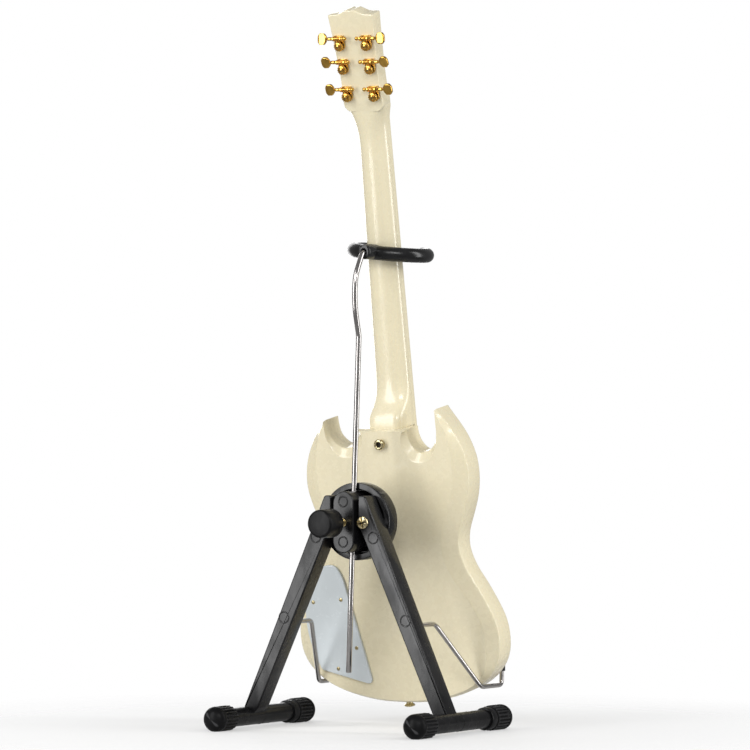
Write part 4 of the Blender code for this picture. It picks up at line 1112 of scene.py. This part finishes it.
def build_tuner_post(name, here, slot_turn):
    """The post with its gear, the gear's teeth, and a dark bar of painted shade for the slot in its screw."""
    body = f"post_{name}"
    top = HEAD_THICKNESS / MM + 3.6
    post = Piece(HEAD)
    post.lathe(scaled([
        (0, top), (0.75, top), (0.9, top - 0.15), (0.9, top - 0.8), (0.75, top - 1.2), (0.9, top - 1.7),
        (0.9, -1.3), (1.6, -1.3), (1.62, -1.35), (1.62, -2.2), (1.5, -2.36), (1.05, -2.42), (1.0, -2.3),
        (0.9, -2.3), (0.85, -2.62), (0.72, -2.72), (0, -2.72),
    ]), here, 36)
    settle(post.finish(f"tuner_gear_{name}", "gold"), body, "gold_plate", f"tuner_post_{name}")
    tooth = Piece(IDENTITY)
    tooth.plate(scaled([(1.5, -0.2), (1.8, -0.1), (1.8, 0.1), (1.5, 0.2)]), -2.25 * MM, -1.35 * MM, 0.04 * MM)
    teeth = grow(ring_tree(), f"tuner_teeth_{name}", HEAD @ here, "gold",
                 tooth.finish("tooth_sample", "gold"), Count=GEAR_TEETH)
    settle(teeth, body, "gold_plate")
    # Painted shade: a dark bar where the slot in the screw would be.
    slot = Piece(HEAD)
    slot.plate(rounded_box(0.62 * MM, 0.13 * MM, 0.05 * MM), -2.76 * MM, -2.5 * MM, 0.02 * MM,
               here @ spin(slot_turn, "Z"))
    settle(slot.finish(f"tuner_slot_{name}", "recess"), body, "gold_plate")


# Stand: hub

LEG_FRONT = 3.85 * MM
DISH_RIM = LEG_FRONT + 0.3 * MM
DISH_FACE = DISH_RIM + 6.5 * MM
DISH_RADIUS = 13.9 * MM
BLOCK_BACK = -LEG_FRONT - 1.0 * MM


def build_dish():
    outer, inner, rim, face = DISH_RADIUS / MM, DISH_RADIUS / MM - 2.2, DISH_RIM / MM, DISH_FACE / MM
    hub = shift(0, HUB_HEIGHT, 0)
    dish = Piece(STAND)
    dish.lathe(scaled([
        (0, face), (outer - 1.0, face), (outer - 0.35, face - 0.12), (outer - 0.08, face - 0.5),
        (outer, face - 1.0), (outer, rim + 0.25), (outer - 0.12, rim + 0.06), (outer - 0.35, rim),
        (inner + 0.2, rim), (inner, rim + 0.2), (inner, face - 2.0), (inner - 0.6, face - 1.4),
        (0, face - 1.4),
    ]), hub, 96)
    boss = [(1.45, rim), (2.4, rim), (2.6, rim + 0.2), (2.6, face - 1.2), (1.45, face - 1.2)]
    for side in (-1, 1):
        dish.lathe(scaled(boss), shift(side * PIVOT.x, HUB_HEIGHT, 0), 32)
        for up in (-1, 1):
            at = hub @ shift(side * 6.6 * MM, up * 7.4 * MM, 0) @ spin(-side * up * 0.72, "Z")
            rib = box_outline(0.5 * MM, 4 * MM)
            dish.plate(rib, DISH_RIM + 1.2 * MM, DISH_FACE - 1.2 * MM, 0.15 * MM, at)
    settle(dish.finish("hub_shell", "plastic"), "base", "black_plastic", "hub_dish")


def build_block():
    half, tall, back = 4.3 * MM, 11.0 * MM, BLOCK_BACK + 0.12 * MM
    outline = rounded_box(half, tall, half * 0.98, (0, HUB_HEIGHT), 12)
    block = Piece(STAND)
    block.plate(outline, back, DISH_FACE - 1.7 * MM, 0.4 * MM, arc=4, low_edge=0.45 * MM)
    for up in (7.4 * MM, -7.0 * MM):
        block.lathe(scaled([
            (1.5, -0.3), (1.5, 0.0), (1.62, 0.14), (1.8, 0.2), (1.98, 0.14), (2.1, -0.02), (2.1, -0.3),
        ]), shift(0, HUB_HEIGHT + up, back) @ FLIP, 40)
    settle(block.finish("clamp_body", "plastic"), "base", "black_plastic", "clamp_block")


def build_pivot_screws():
    for side, turn in (("left", 0.25), ("right", 0.9)):
        node = f"pivot_screw_{side}"
        low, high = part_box(node)
        middle = (low + high) / 2
        head = STAND.inverted() @ Vector((middle.x, high.y - 0.7 * MM, middle.z))
        at = Matrix.Translation(head) @ FLIP
        screw = Piece(STAND)
        screw_head(screw, at @ spin(turn, "Z"), 2.2 * MM, 0.75 * MM, 0.36 * MM)
        screw.lathe(scaled([(0, 0.0), (1.05, 0.0), (1.05, -12.0), (0, -12.0)]), at, 16)
        settle(screw.finish(f"pivot_screw_head_{side}", "brass"), "base", "brass_screws", node)


KNOB_LENGTH = 8.8 * MM
KNOB_RADIUS = 5.4 * MM


def build_clamp_knob():
    low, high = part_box("clamp_knob")
    back, tip = PIVOT.y - high.y, PIVOT.y - low.y
    front = back + KNOB_LENGTH
    hub = shift(0, HUB_HEIGHT, 0)
    knob = Piece(STAND)
    # Distance in from the rim, and place along the axis
    profile = [
        (0.9 * MM, front), (0.5 * MM, front - 0.1 * MM), (0.25 * MM, front - 0.45 * MM),
        (0.38 * MM, back + 0.7 * MM), (0.5 * MM, back + 0.35 * MM), (0.85 * MM, back + 0.08 * MM),
        (1.3 * MM, back),
    ]
    knob.lathe([(0, front)] + [(KNOB_RADIUS - inwards, at) for inwards, at in profile] + [(0, back)], hub, 64)
    settle(knob.finish("knob_handle", "knob"), "clamp_knob", "black_plastic", "clamp_knob")
    screw = Piece(STAND)
    thread = 1.42 * MM
    screw.lathe([(0, tip), (1.3 * MM, tip), (thread, tip - 0.3 * MM), (thread, front), (0, front)], hub, 28)
    screw.tube(helix(1.46 * MM, front + 0.9 * MM, tip - 0.4 * MM, 12, 14), 0.14 * MM, 6, hub)
    settle(screw.finish("knob_screw_thread", "brass"), "clamp_knob", "brass_screws")


# Stand: legs and feet

LEG_ANGLE = math.radians(24.4)
LEG_WIDTH = 6.7 * MM
LEG_OFFSET = 1.1 * MM
LEG_STOP_X = 5.5 * MM
FOOT_AXIS = 4.4 * MM
FOOT_FRONT = 37.2 * MM
FOOT_REAR = 24.8 * MM
FOOT_BAND = 8.8 * MM
FOOT_TUBE = 3.4
# Places down the leg of the round marks on its rear face
MARKS_DOWN = (5.4 * MM, 34.6 * MM)


def leg_axis_x(up):
    return abs(PIVOT.x) + LEG_OFFSET + (HUB_HEIGHT - up) * math.tan(LEG_ANGLE)


def leg_corners():
    """The outline of the leg on the +X side: x, up, radius of the corner."""
    half = LEG_WIDTH / 2 / math.cos(LEG_ANGLE)
    top = HUB_HEIGHT + 9.5 * MM
    knee = HUB_HEIGHT - (LEG_STOP_X - leg_axis_x(HUB_HEIGHT) + half) / math.tan(LEG_ANGLE)
    heel = FOOT_AXIS + 3 * MM
    foot_x = leg_axis_x(FOOT_AXIS)
    return [
        (LEG_STOP_X, top, 1.2 * MM), (leg_axis_x(top) + half, top, 0.8 * MM),
        (foot_x + half * 0.6, FOOT_AXIS, 0.3 * MM), (foot_x - half * 0.6, FOOT_AXIS, 0.3 * MM),
        (leg_axis_x(heel) - half, heel, 0.3 * MM), (LEG_STOP_X, knee, 1.0 * MM),
    ]


def build_legs(flutes):
    foot_x = leg_axis_x(FOOT_AXIS)
    front, rear = (FOOT_FRONT - FOOT_BAND) / MM - 0.3, 0.3 - (FOOT_REAR - FOOT_BAND) / MM
    for name, sign in (("left", -1), ("right", 1)):
        outline = [(sign * x, up) for x, up in rounded_corners(leg_corners(), 5)]
        leg = Piece(STAND).plate(outline, -LEG_FRONT, LEG_FRONT, 0.5 * MM, arc=4)
        for down in MARKS_DOWN:
            up = HUB_HEIGHT - down
            leg.lathe(scaled([
                (1.7, -0.3), (1.7, 0.0), (1.82, 0.12), (2.0, 0.17), (2.16, 0.12), (2.28, -0.03), (2.28, -0.3),
            ]), shift(sign * (leg_axis_x(up) + 0.35 * MM), up, -LEG_FRONT) @ FLIP, 40)
        leg.lathe(scaled([
            (0, front + 6), (3.0, front + 6), (3.0, front), (3.9, front), (4.12, front - 0.2),
            (4.12, front - 3.2), (3.95, front - 3.5), (FOOT_TUBE, front - 3.55), (FOOT_TUBE, 5.0),
            (FOOT_TUBE + 0.06, 4.95), (FOOT_TUBE + 0.06, 4.7), (FOOT_TUBE, 4.65), (FOOT_TUBE, rear),
            (3.0, rear), (3.0, rear - 6), (0, rear - 6),
        ]), shift(sign * foot_x, FOOT_AXIS, 0), 48)
        settle(leg.finish(f"leg_moulding_{name}", "plastic"), f"leg_{name}", "black_plastic", f"leg_{name}")
        build_foot_cap(name, "front", shift(sign * foot_x, FOOT_AXIS, FOOT_FRONT), flutes)
        build_foot_cap(name, "rear", shift(sign * foot_x, FOOT_AXIS, -FOOT_REAR) @ FLIP, flutes)


def build_foot_cap(name, where, at, flutes):
    """A rubber cup with a domed end and a band of flutes."""
    band = FOOT_BAND / MM
    quarter = [TAU / 4 * step / 10 for step in range(9, -1, -1)]
    dome = [(4.6 * math.cos(angle), 3.5 * math.sin(angle)) for angle in quarter]
    cup = Piece(STAND).lathe(scaled([(0, 3.5)] + dome + [
        (4.6, -0.5), (4.4, -0.75), (4.12, -1.1), (4.12, -band + 0.5), (4.3, -band + 0.3), (4.3, -band + 0.05),
        (4.2, -band), (3.3, -band), (3.3, -2.0), (0, -2.0),
    ]), at, 52).finish(f"foot_cup_{name}_{where}", "rubber")
    flatten_sole(cup)
    settle(cup, f"leg_{name}", "black_rubber", f"foot_cap_{name}_{where}")
    flute = Piece(IDENTITY).tube(scaled([
        (3.95, 0, -0.3), (4.16, 0, -0.8), (4.2, 0, -2.0), (4.2, 0, -band + 1.2), (4.14, 0, -band + 0.15),
    ]), 0.4 * MM, 8)
    ribs = grow(ring_tree(), f"foot_flutes_{name}_{where}", STAND @ at, "rubber",
                flute.finish("flute_sample", "rubber"), Count=flutes)
    flatten_sole(ribs)
    settle(ribs, f"leg_{name}", "black_rubber")


def flatten_sole(obj):
    """Presses whatever would reach below the floor up to it."""
    for vertex in obj.data.vertices:
        vertex.co.z = max(vertex.co.z, 0.0)


# Stand: neck rod, yoke and body arms

YOKE_HEIGHT = 171.1 * MM
YOKE_RADIUS = 2.6 * MM
YOKE_HALF_WIDTH = 13.2 * MM
YOKE_HALF_DEPTH = 12.6 * MM
YOKE_ROLL = math.radians(5)
YOKE_OPENING = math.radians(29)
LEAN = math.atan2(ALONG.y, ALONG.z)
ROD_AT_HUB = 2.5 * MM
ROD_LOW = 21.0 * MM
ROD_BEND = 141.8 * MM
ROD_RADIUS = 1.0 * MM
# From where the rod bends: how far up, and how far forward of the straight part's end
CROOK = [(0.3, -0.25), (4, -1.3), (9, -2.5), (15, -2.9), (21, -2.1)]
# The short straight tube behind the yoke that the rod goes into
STUB_LENGTH = 7.1 * MM
STUB_LIFT = 0.3 * MM


def yoke_rear():
    """How far forward the yoke's tube is where it passes behind the neck."""
    out = NECK_CROWN - 0.3 * MM - YOKE_RADIUS
    return BACK_AT_FLOOR - YOKE_HEIGHT * math.tan(LEAN) + out / math.cos(LEAN)


def rod_forward(up):
    """How far forward the straight part of the rod is at a height."""
    axis = joint_axis("neck_rod_slide")
    return ROD_AT_HUB + (up - HUB_HEIGHT) * -axis.y / axis.z


def rod_point(up, ahead=0.0):
    return 0, up, rod_forward(up) + ahead


def build_neck_rod():
    stub_end = yoke_rear() - STUB_LENGTH
    lift = YOKE_HEIGHT + STUB_LIFT
    crook = [rod_point(ROD_BEND - 6 * MM), rod_point(ROD_BEND - 1.5 * MM)]
    crook += [(0, ROD_BEND + up * MM, rod_forward(ROD_BEND) + ahead * MM) for up, ahead in CROOK]
    crook += [
        (0, lift - 3.2 * MM, stub_end - 2.6 * MM), (0, lift - 0.6 * MM, stub_end - 0.6 * MM),
        (0, lift, stub_end + 1.5 * MM), (0, lift, stub_end + 4 * MM),
    ]
    low = rod_point(ROD_LOW)
    straight = [low, (0, ROD_LOW + 0.25 * MM, low[2]), rod_point(60 * MM), rod_point(100 * MM)]
    rod = Piece(STAND)
    rod.tube(straight + smooth_path(crook, 6), ROD_RADIUS, 24, taper=lambda share: 0.8 if share == 0 else 1)
    settle(rod.finish("rod_wire", "steel"), "neck_support", "bright_steel", "neck_rod")


def yoke_taper(share):
    """Rounds off both ends of the yoke's tube."""
    return min(1.0, 0.55 + 0.45 * math.sqrt(min(share, 1 - share) / 0.018))


def build_yoke():
    middle = yoke_rear() + YOKE_HALF_DEPTH
    ring = []
    count = 96
    for step in range(count + 1):
        angle = YOKE_OPENING + (TAU - 2 * YOKE_OPENING) * step / count
        x = YOKE_HALF_WIDTH * math.sin(angle)
        ring.append((x, YOKE_HEIGHT + x * math.tan(YOKE_ROLL), middle + YOKE_HALF_DEPTH * math.cos(angle)))
    yoke = Piece(STAND)
    yoke.tube(ring, YOKE_RADIUS, 28, taper=yoke_taper)
    yoke.lathe(scaled([
        (0, 1.0), (2.7, 1.0), (2.7, -6.6), (2.55, -6.95), (2.25, -7.1), (1.35, -7.1), (1.2, -6.9), (1.2, -4),
        (0, -4),
    ]), shift(0, YOKE_HEIGHT + STUB_LIFT, yoke_rear()), 36)
    settle(yoke.finish("yoke_tube", "plastic"), "neck_support", "black_plastic", "neck_yoke")


ARM_SHANK_UP = 38.4 * MM
ARM_CRADLE_X = 33.7 * MM
ARM_CRADLE_END = 51.4 * MM
ARM_TIP_UP = 20.0 * MM
ARM_CRADLE_UP = 15.0 * MM
ARM_RADIUS = 0.85 * MM
ARM_BEND = 2.2 * MM


def arm_path():
    """The middle of the wire arm on the +X side: out of the leg, down and out, level, then up at its tip."""
    shank_x = leg_axis_x(ARM_SHANK_UP)
    corners = [
        (shank_x, ARM_SHANK_UP, 0.6 * MM), (shank_x, ARM_SHANK_UP, 16.5 * MM),
        (ARM_CRADLE_X, ARM_CRADLE_UP, 36.0 * MM), (ARM_CRADLE_X, ARM_CRADLE_UP, ARM_CRADLE_END),
        (ARM_CRADLE_X, ARM_TIP_UP + 2 * MM, ARM_CRADLE_END),
    ]
    path = [corners[0]]
    for before, corner, after in zip(corners, corners[1:], corners[2:]):
        path += bend(before, corner, after, ARM_BEND, 10)
    return path + [corners[-1]]


def build_arms():
    for name, sign in (("left", -1), ("right", 1)):
        body = f"arm_{name}"
        arm = Piece(STAND).tube([(sign * x, up, ahead) for x, up, ahead in arm_path()], ARM_RADIUS, 18)
        settle(arm.finish(f"arm_wire_{name}", "steel"), body, "bright_steel", f"body_arm_{name}")
        tip = Piece(STAND).lathe(scaled([
            (0, 3.6), (0.5, 3.56), (0.9, 3.35), (1.18, 3.0), (1.3, 2.5), (1.3, 0.2), (1.2, 0.03), (1.0, 0.0),
            (0, 0.0),
        ]), shift(sign * ARM_CRADLE_X, ARM_TIP_UP, ARM_CRADLE_END) @ spin(-TAU / 4, "X"), 28)
        settle(tip.finish(f"arm_tip_cap_{name}", "rubber"), body, "black_rubber", f"arm_tip_{name}")


# Stage

# What the camera looks at, and where it stands round that
TARGET = Vector((0, PIVOT.y, 0.125))
CAMERA_AZIMUTH = math.radians(210)
CAMERA_HEIGHT = 0.1702
CAMERA_DISTANCE = 2.5
CAMERA_LENS = 336.1
CAMERA_SHIFT = (0.0337, 0.0089)
TO_CAMERA = Vector((math.sin(CAMERA_AZIMUTH), -math.cos(CAMERA_AZIMUTH), 0))


def aim(name, data, place):
    """Stands a camera or lamp at a place, turned to the target."""
    obj = bpy.data.objects.new(name, data)
    obj.location = place
    obj.rotation_euler = (TARGET - obj.location).to_track_quat("-Z", "Y").to_euler()
    bpy.context.scene.collection.objects.link(obj)
    return obj


def build_camera():
    rise = CAMERA_HEIGHT - TARGET.z
    level = math.sqrt(CAMERA_DISTANCE ** 2 - rise ** 2)
    camera = bpy.data.cameras.new("view")
    camera.lens = CAMERA_LENS
    camera.sensor_width = 36
    camera.shift_x, camera.shift_y = CAMERA_SHIFT
    camera.clip_end = 50
    bpy.context.scene.camera = aim("view", camera, TARGET + TO_CAMERA * level + Vector((0, 0, rise)))
    bpy.context.scene.view_settings.view_transform = "Standard"


def fading_floor():
    """A pale matt finish that thins out to nothing towards the floor's rim."""
    pale = Finish("pale_floor", (0.93, 0.93, 0.93), 0.7, Specular_IOR_Level=0.1)
    spread = pale.nodes.new("ShaderNodeMapping")
    spread.inputs["Scale"].default_value = (4.5, 4.5, 4.5)
    fade = pale.nodes.new("ShaderNodeTexGradient")
    fade.gradient_type = "SPHERICAL"
    clear = pale.nodes.new("ShaderNodeBsdfTransparent")
    mix = pale.nodes.new("ShaderNodeMixShader")
    pale.links.new(pale.place, spread.inputs["Vector"])
    pale.links.new(spread.outputs["Vector"], fade.inputs["Vector"])
    pale.links.new(pale.ramp(fade.outputs["Fac"], 0.0, 0.6, 0.02, 0.7), mix.inputs["Fac"])
    pale.links.new(clear.outputs["BSDF"], mix.inputs[1])
    pale.links.new(pale.shader.outputs["BSDF"], mix.inputs[2])
    pale.links.new(mix.outputs["Shader"], pale.nodes["Material Output"].inputs["Surface"])
    return pale.material


def build_floor(radius):
    mesh = bpy.data.meshes.new("floor")
    work = bmesh.new()
    bmesh.ops.create_circle(work, cap_ends=True, segments=96, radius=radius)
    work.to_mesh(mesh)
    work.free()
    mesh.materials.append(fading_floor())
    floor = bpy.data.objects.new("floor", mesh)
    bpy.context.scene.collection.objects.link(floor)


def build_surroundings(strength):
    """White all round, at full strength where the camera sees it and weaker as light."""
    world = bpy.data.worlds.new("studio")
    world.use_nodes = True
    bpy.context.scene.world = world
    nodes, links = world.node_tree.nodes, world.node_tree.links
    surround = nodes["Background"]
    seen = nodes.new("ShaderNodeBackground")
    for background, power in ((surround, strength), (seen, 1.0)):
        background.inputs["Color"].default_value = (1, 1, 1, 1)
        background.inputs["Strength"].default_value = power
    path = nodes.new("ShaderNodeLightPath")
    either = nodes.new("ShaderNodeMixShader")
    links.new(path.outputs["Is Camera Ray"], either.inputs["Fac"])
    links.new(surround.outputs["Background"], either.inputs[1])
    links.new(seen.outputs["Background"], either.inputs[2])
    links.new(either.outputs["Shader"], nodes["World Output"].inputs["Surface"])


# Name, place to the right, towards the camera and up, width, height, share of the key light
SOFT_BOXES = (
    ("left_box", -1.1, 0.75, 0.35, 0.55, 1.5, 1.0),
    ("right_box", 1.15, 0.25, 0.3, 0.35, 1.5, 0.7),
    ("camera_box", 0.15, 1.5, 0.75, 0.9, 0.5, 0.8),
    ("front_box", -0.3, -1.3, 0.15, 0.8, 1.0, 0.45),
)


def build_lights(key):
    side = Vector((0, 0, 1)).cross(TO_CAMERA)
    for name, right, towards, up, wide, tall, share in SOFT_BOXES:
        lamp = bpy.data.lights.new(name, "AREA")
        lamp.shape = "RECTANGLE"
        lamp.size = wide
        lamp.size_y = tall
        lamp.energy = key * share
        aim(name, lamp, TARGET + side * right + TO_CAMERA * towards + Vector((0, 0, up)))


# Properties, operators and panel

class GuitarLook(bpy.types.PropertyGroup):
    """Colours of the guitar and the stand."""

    lacquer: bpy.props.FloatVectorProperty(
        name="Lacquer", description="Colour of the body and neck", subtype="COLOR", min=0, max=1,
        default=(0.83, 0.75, 0.53),
    )
    gold: bpy.props.FloatVectorProperty(
        name="Gold", description="Colour of the plated hardware", subtype="COLOR", min=0, max=1,
        default=(0.80, 0.47, 0.10),
    )
    brass: bpy.props.FloatVectorProperty(
        name="Brass", description="Colour of the screws", subtype="COLOR", min=0, max=1,
        default=(0.66, 0.56, 0.33),
    )
    steel: bpy.props.FloatVectorProperty(
        name="Steel", description="Colour of the bent wires", subtype="COLOR", min=0, max=1,
        default=(0.47, 0.45, 0.44),
    )
    plastic: bpy.props.FloatVectorProperty(
        name="Plastic", description="Colour of the stand's mouldings", subtype="COLOR", min=0, max=1,
        default=(0.007, 0.007, 0.0075),
    )
    cover: bpy.props.FloatVectorProperty(
        name="Cover", description="Colour of the pale plastic plates", subtype="COLOR", min=0, max=1,
        default=(0.66, 0.71, 0.73),
    )


class GuitarSizes(bpy.types.PropertyGroup):
    """Sizes and counts of the fine parts that the CAD leaves out."""

    frets: bpy.props.IntProperty(
        name="Frets", description="Number of fret wires", default=20, min=1, max=24)
    thickest_string: bpy.props.FloatProperty(
        name="Thickest String", description="Radius of the lowest string", unit="LENGTH", precision=5,
        default=0.24 * MM, min=0.05 * MM)
    thinnest_string: bpy.props.FloatProperty(
        name="Thinnest String", description="Radius of the highest string", unit="LENGTH", precision=5,
        default=0.13 * MM, min=0.05 * MM)
    knob_ribs: bpy.props.IntProperty(
        name="Knob Ribs", description="Ribs round each control knob", default=28, min=3)
    foot_flutes: bpy.props.IntProperty(
        name="Foot Flutes", description="Flutes round each foot cap", default=22, min=3)


class StudioLight(bpy.types.PropertyGroup):
    """Strength of the studio's lights and size of its floor."""

    key: bpy.props.FloatProperty(
        name="Key", description="Power of the main soft light", unit="POWER", default=13.8, min=0)
    fill: bpy.props.FloatProperty(
        name="Fill", description="Strength of the light from all round", default=0.28, min=0)
    floor_radius: bpy.props.FloatProperty(
        name="Floor Radius", description="Radius of the round floor", unit="LENGTH", default=0.24, min=0.1)


class GUITAR_OT_finishes(bpy.types.Operator):
    """Makes the materials from the panel's colours"""

    bl_idname = "guitar.finishes"
    bl_label = "Finishes"
    bl_options = {"REGISTER", "UNDO"}

    def execute(self, context):
        FINISHES.update(make_finishes(context.scene.guitar_look))
        return {"FINISHED"}


class GUITAR_OT_body(bpy.types.Operator):
    """Builds the body shell"""

    bl_idname = "guitar.body"
    bl_label = "Body"
    bl_options = {"REGISTER", "UNDO"}

    def execute(self, context):
        build_body()
        return {"FINISHED"}


class GUITAR_OT_neck(bpy.types.Operator):
    """Builds the neck and headstock"""

    bl_idname = "guitar.neck"
    bl_label = "Neck"
    bl_options = {"REGISTER", "UNDO"}

    def execute(self, context):
        build_neck()
        return {"FINISHED"}


class GUITAR_OT_fretboard(bpy.types.Operator):
    """Builds the fretboard, frets, inlays and nut"""

    bl_idname = "guitar.fretboard"
    bl_label = "Fretboard"
    bl_options = {"REGISTER", "UNDO"}

    def execute(self, context):
        build_fretboard(context.scene.guitar_sizes.frets)
        return {"FINISHED"}


class GUITAR_OT_strings(bpy.types.Operator):
    """Builds the strings"""

    bl_idname = "guitar.strings"
    bl_label = "Strings"
    bl_options = {"REGISTER", "UNDO"}

    def execute(self, context):
        sizes = context.scene.guitar_sizes
        build_strings(sizes.thickest_string, sizes.thinnest_string)
        return {"FINISHED"}


class GUITAR_OT_pickups(bpy.types.Operator):
    """Builds the pickups and their pole screws"""

    bl_idname = "guitar.pickups"
    bl_label = "Pickups"
    bl_options = {"REGISTER", "UNDO"}

    def execute(self, context):
        build_pickups()
        return {"FINISHED"}


class GUITAR_OT_bridge(bpy.types.Operator):
    """Builds the bridge, saddles and tailpiece"""

    bl_idname = "guitar.bridge"
    bl_label = "Bridge"
    bl_options = {"REGISTER", "UNDO"}

    def execute(self, context):
        build_bridge()
        return {"FINISHED"}


class GUITAR_OT_controls(bpy.types.Operator):
    """Builds the knobs, switch, jack and front plates"""

    bl_idname = "guitar.controls"
    bl_label = "Controls"
    bl_options = {"REGISTER", "UNDO"}

    def execute(self, context):
        build_knobs(context.scene.guitar_sizes.knob_ribs)
        build_switch()
        build_jack()
        build_front_plates()
        return {"FINISHED"}


class GUITAR_OT_back_cover(bpy.types.Operator):
    """Builds the control cover and its screws"""

    bl_idname = "guitar.back_cover"
    bl_label = "Back Cover"
    bl_options = {"REGISTER", "UNDO"}

    def execute(self, context):
        build_back_cover()
        return {"FINISHED"}


class GUITAR_OT_strap_buttons(bpy.types.Operator):
    """Builds both strap buttons"""

    bl_idname = "guitar.strap_buttons"
    bl_label = "Strap Buttons"
    bl_options = {"REGISTER", "UNDO"}

    def execute(self, context):
        build_strap_buttons()
        return {"FINISHED"}


class GUITAR_OT_tuners(bpy.types.Operator):
    """Builds the six tuners"""

    bl_idname = "guitar.tuners"
    bl_label = "Tuners"
    bl_options = {"REGISTER", "UNDO"}

    def execute(self, context):
        build_tuners()
        return {"FINISHED"}


class GUITAR_OT_hub(bpy.types.Operator):
    """Builds the hub dish, clamp block and pivot screws"""

    bl_idname = "guitar.hub"
    bl_label = "Hub"
    bl_options = {"REGISTER", "UNDO"}

    def execute(self, context):
        build_dish()
        build_block()
        build_pivot_screws()
        return {"FINISHED"}


class GUITAR_OT_clamp_knob(bpy.types.Operator):
    """Builds the clamp knob and its screw"""

    bl_idname = "guitar.clamp_knob"
    bl_label = "Clamp Knob"
    bl_options = {"REGISTER", "UNDO"}

    def execute(self, context):
        build_clamp_knob()
        return {"FINISHED"}


class GUITAR_OT_legs(bpy.types.Operator):
    """Builds the legs, foot bars and foot caps"""

    bl_idname = "guitar.legs"
    bl_label = "Legs"
    bl_options = {"REGISTER", "UNDO"}

    def execute(self, context):
        build_legs(context.scene.guitar_sizes.foot_flutes)
        return {"FINISHED"}


class GUITAR_OT_neck_support(bpy.types.Operator):
    """Builds the neck rod and yoke"""

    bl_idname = "guitar.neck_support"
    bl_label = "Neck Support"
    bl_options = {"REGISTER", "UNDO"}

    def execute(self, context):
        build_neck_rod()
        build_yoke()
        return {"FINISHED"}


class GUITAR_OT_arms(bpy.types.Operator):
    """Builds the wire arms and their tips"""

    bl_idname = "guitar.arms"
    bl_label = "Body Arms"
    bl_options = {"REGISTER", "UNDO"}

    def execute(self, context):
        build_arms()
        return {"FINISHED"}


class GUITAR_OT_stage(bpy.types.Operator):
    """Builds the camera, floor and lights"""

    bl_idname = "guitar.stage"
    bl_label = "Stage"
    bl_options = {"REGISTER", "UNDO"}

    def execute(self, context):
        light = context.scene.guitar_light
        build_camera()
        build_floor(light.floor_radius)
        build_surroundings(light.fill)
        build_lights(light.key)
        return {"FINISHED"}


OPERATORS = [
    GUITAR_OT_finishes, GUITAR_OT_body, GUITAR_OT_neck, GUITAR_OT_fretboard, GUITAR_OT_strings,
    GUITAR_OT_pickups, GUITAR_OT_bridge, GUITAR_OT_controls, GUITAR_OT_back_cover, GUITAR_OT_strap_buttons,
    GUITAR_OT_tuners, GUITAR_OT_hub, GUITAR_OT_clamp_knob, GUITAR_OT_legs, GUITAR_OT_neck_support,
    GUITAR_OT_arms, GUITAR_OT_stage,
]
GROUPS = {"guitar_look": GuitarLook, "guitar_sizes": GuitarSizes, "guitar_light": StudioLight}


class GUITAR_PT_panel(bpy.types.Panel):
    """Lists the properties and the steps that build the guitar and its stand."""

    bl_idname = "GUITAR_PT_panel"
    bl_label = "Guitar on Stand"
    bl_space_type = "VIEW_3D"
    bl_region_type = "UI"
    bl_category = "Guitar"

    def draw(self, context):
        for place, group in GROUPS.items():
            for name in group.__annotations__:
                self.layout.prop(getattr(context.scene, place), name)
        for operator in OPERATORS:
            self.layout.operator(operator.bl_idname)


CLASSES = [*GROUPS.values(), *OPERATORS, GUITAR_PT_panel]


def register():
    for cls in CLASSES:
        bpy.utils.register_class(cls)
    for place, group in GROUPS.items():
        setattr(bpy.types.Scene, place, bpy.props.PointerProperty(type=group))


def unregister():
    for place in GROUPS:
        delattr(bpy.types.Scene, place)
    for cls in reversed(CLASSES):
        bpy.utils.unregister_class(cls)


def main():
    register()
    bpy.ops.guitar.finishes()
    bpy.ops.guitar.body()
    bpy.ops.guitar.neck()
    bpy.ops.guitar.fretboard()
    bpy.ops.guitar.strings()
    bpy.ops.guitar.pickups()
    bpy.ops.guitar.bridge()
    bpy.ops.guitar.controls()
    bpy.ops.guitar.back_cover()
    bpy.ops.guitar.strap_buttons()
    bpy.ops.guitar.tuners()
    bpy.ops.guitar.hub()
    bpy.ops.guitar.clamp_knob()
    bpy.ops.guitar.legs()
    bpy.ops.guitar.neck_support()
    bpy.ops.guitar.arms()
    bpy.ops.guitar.stage()


if __name__ == "__main__":
    main()
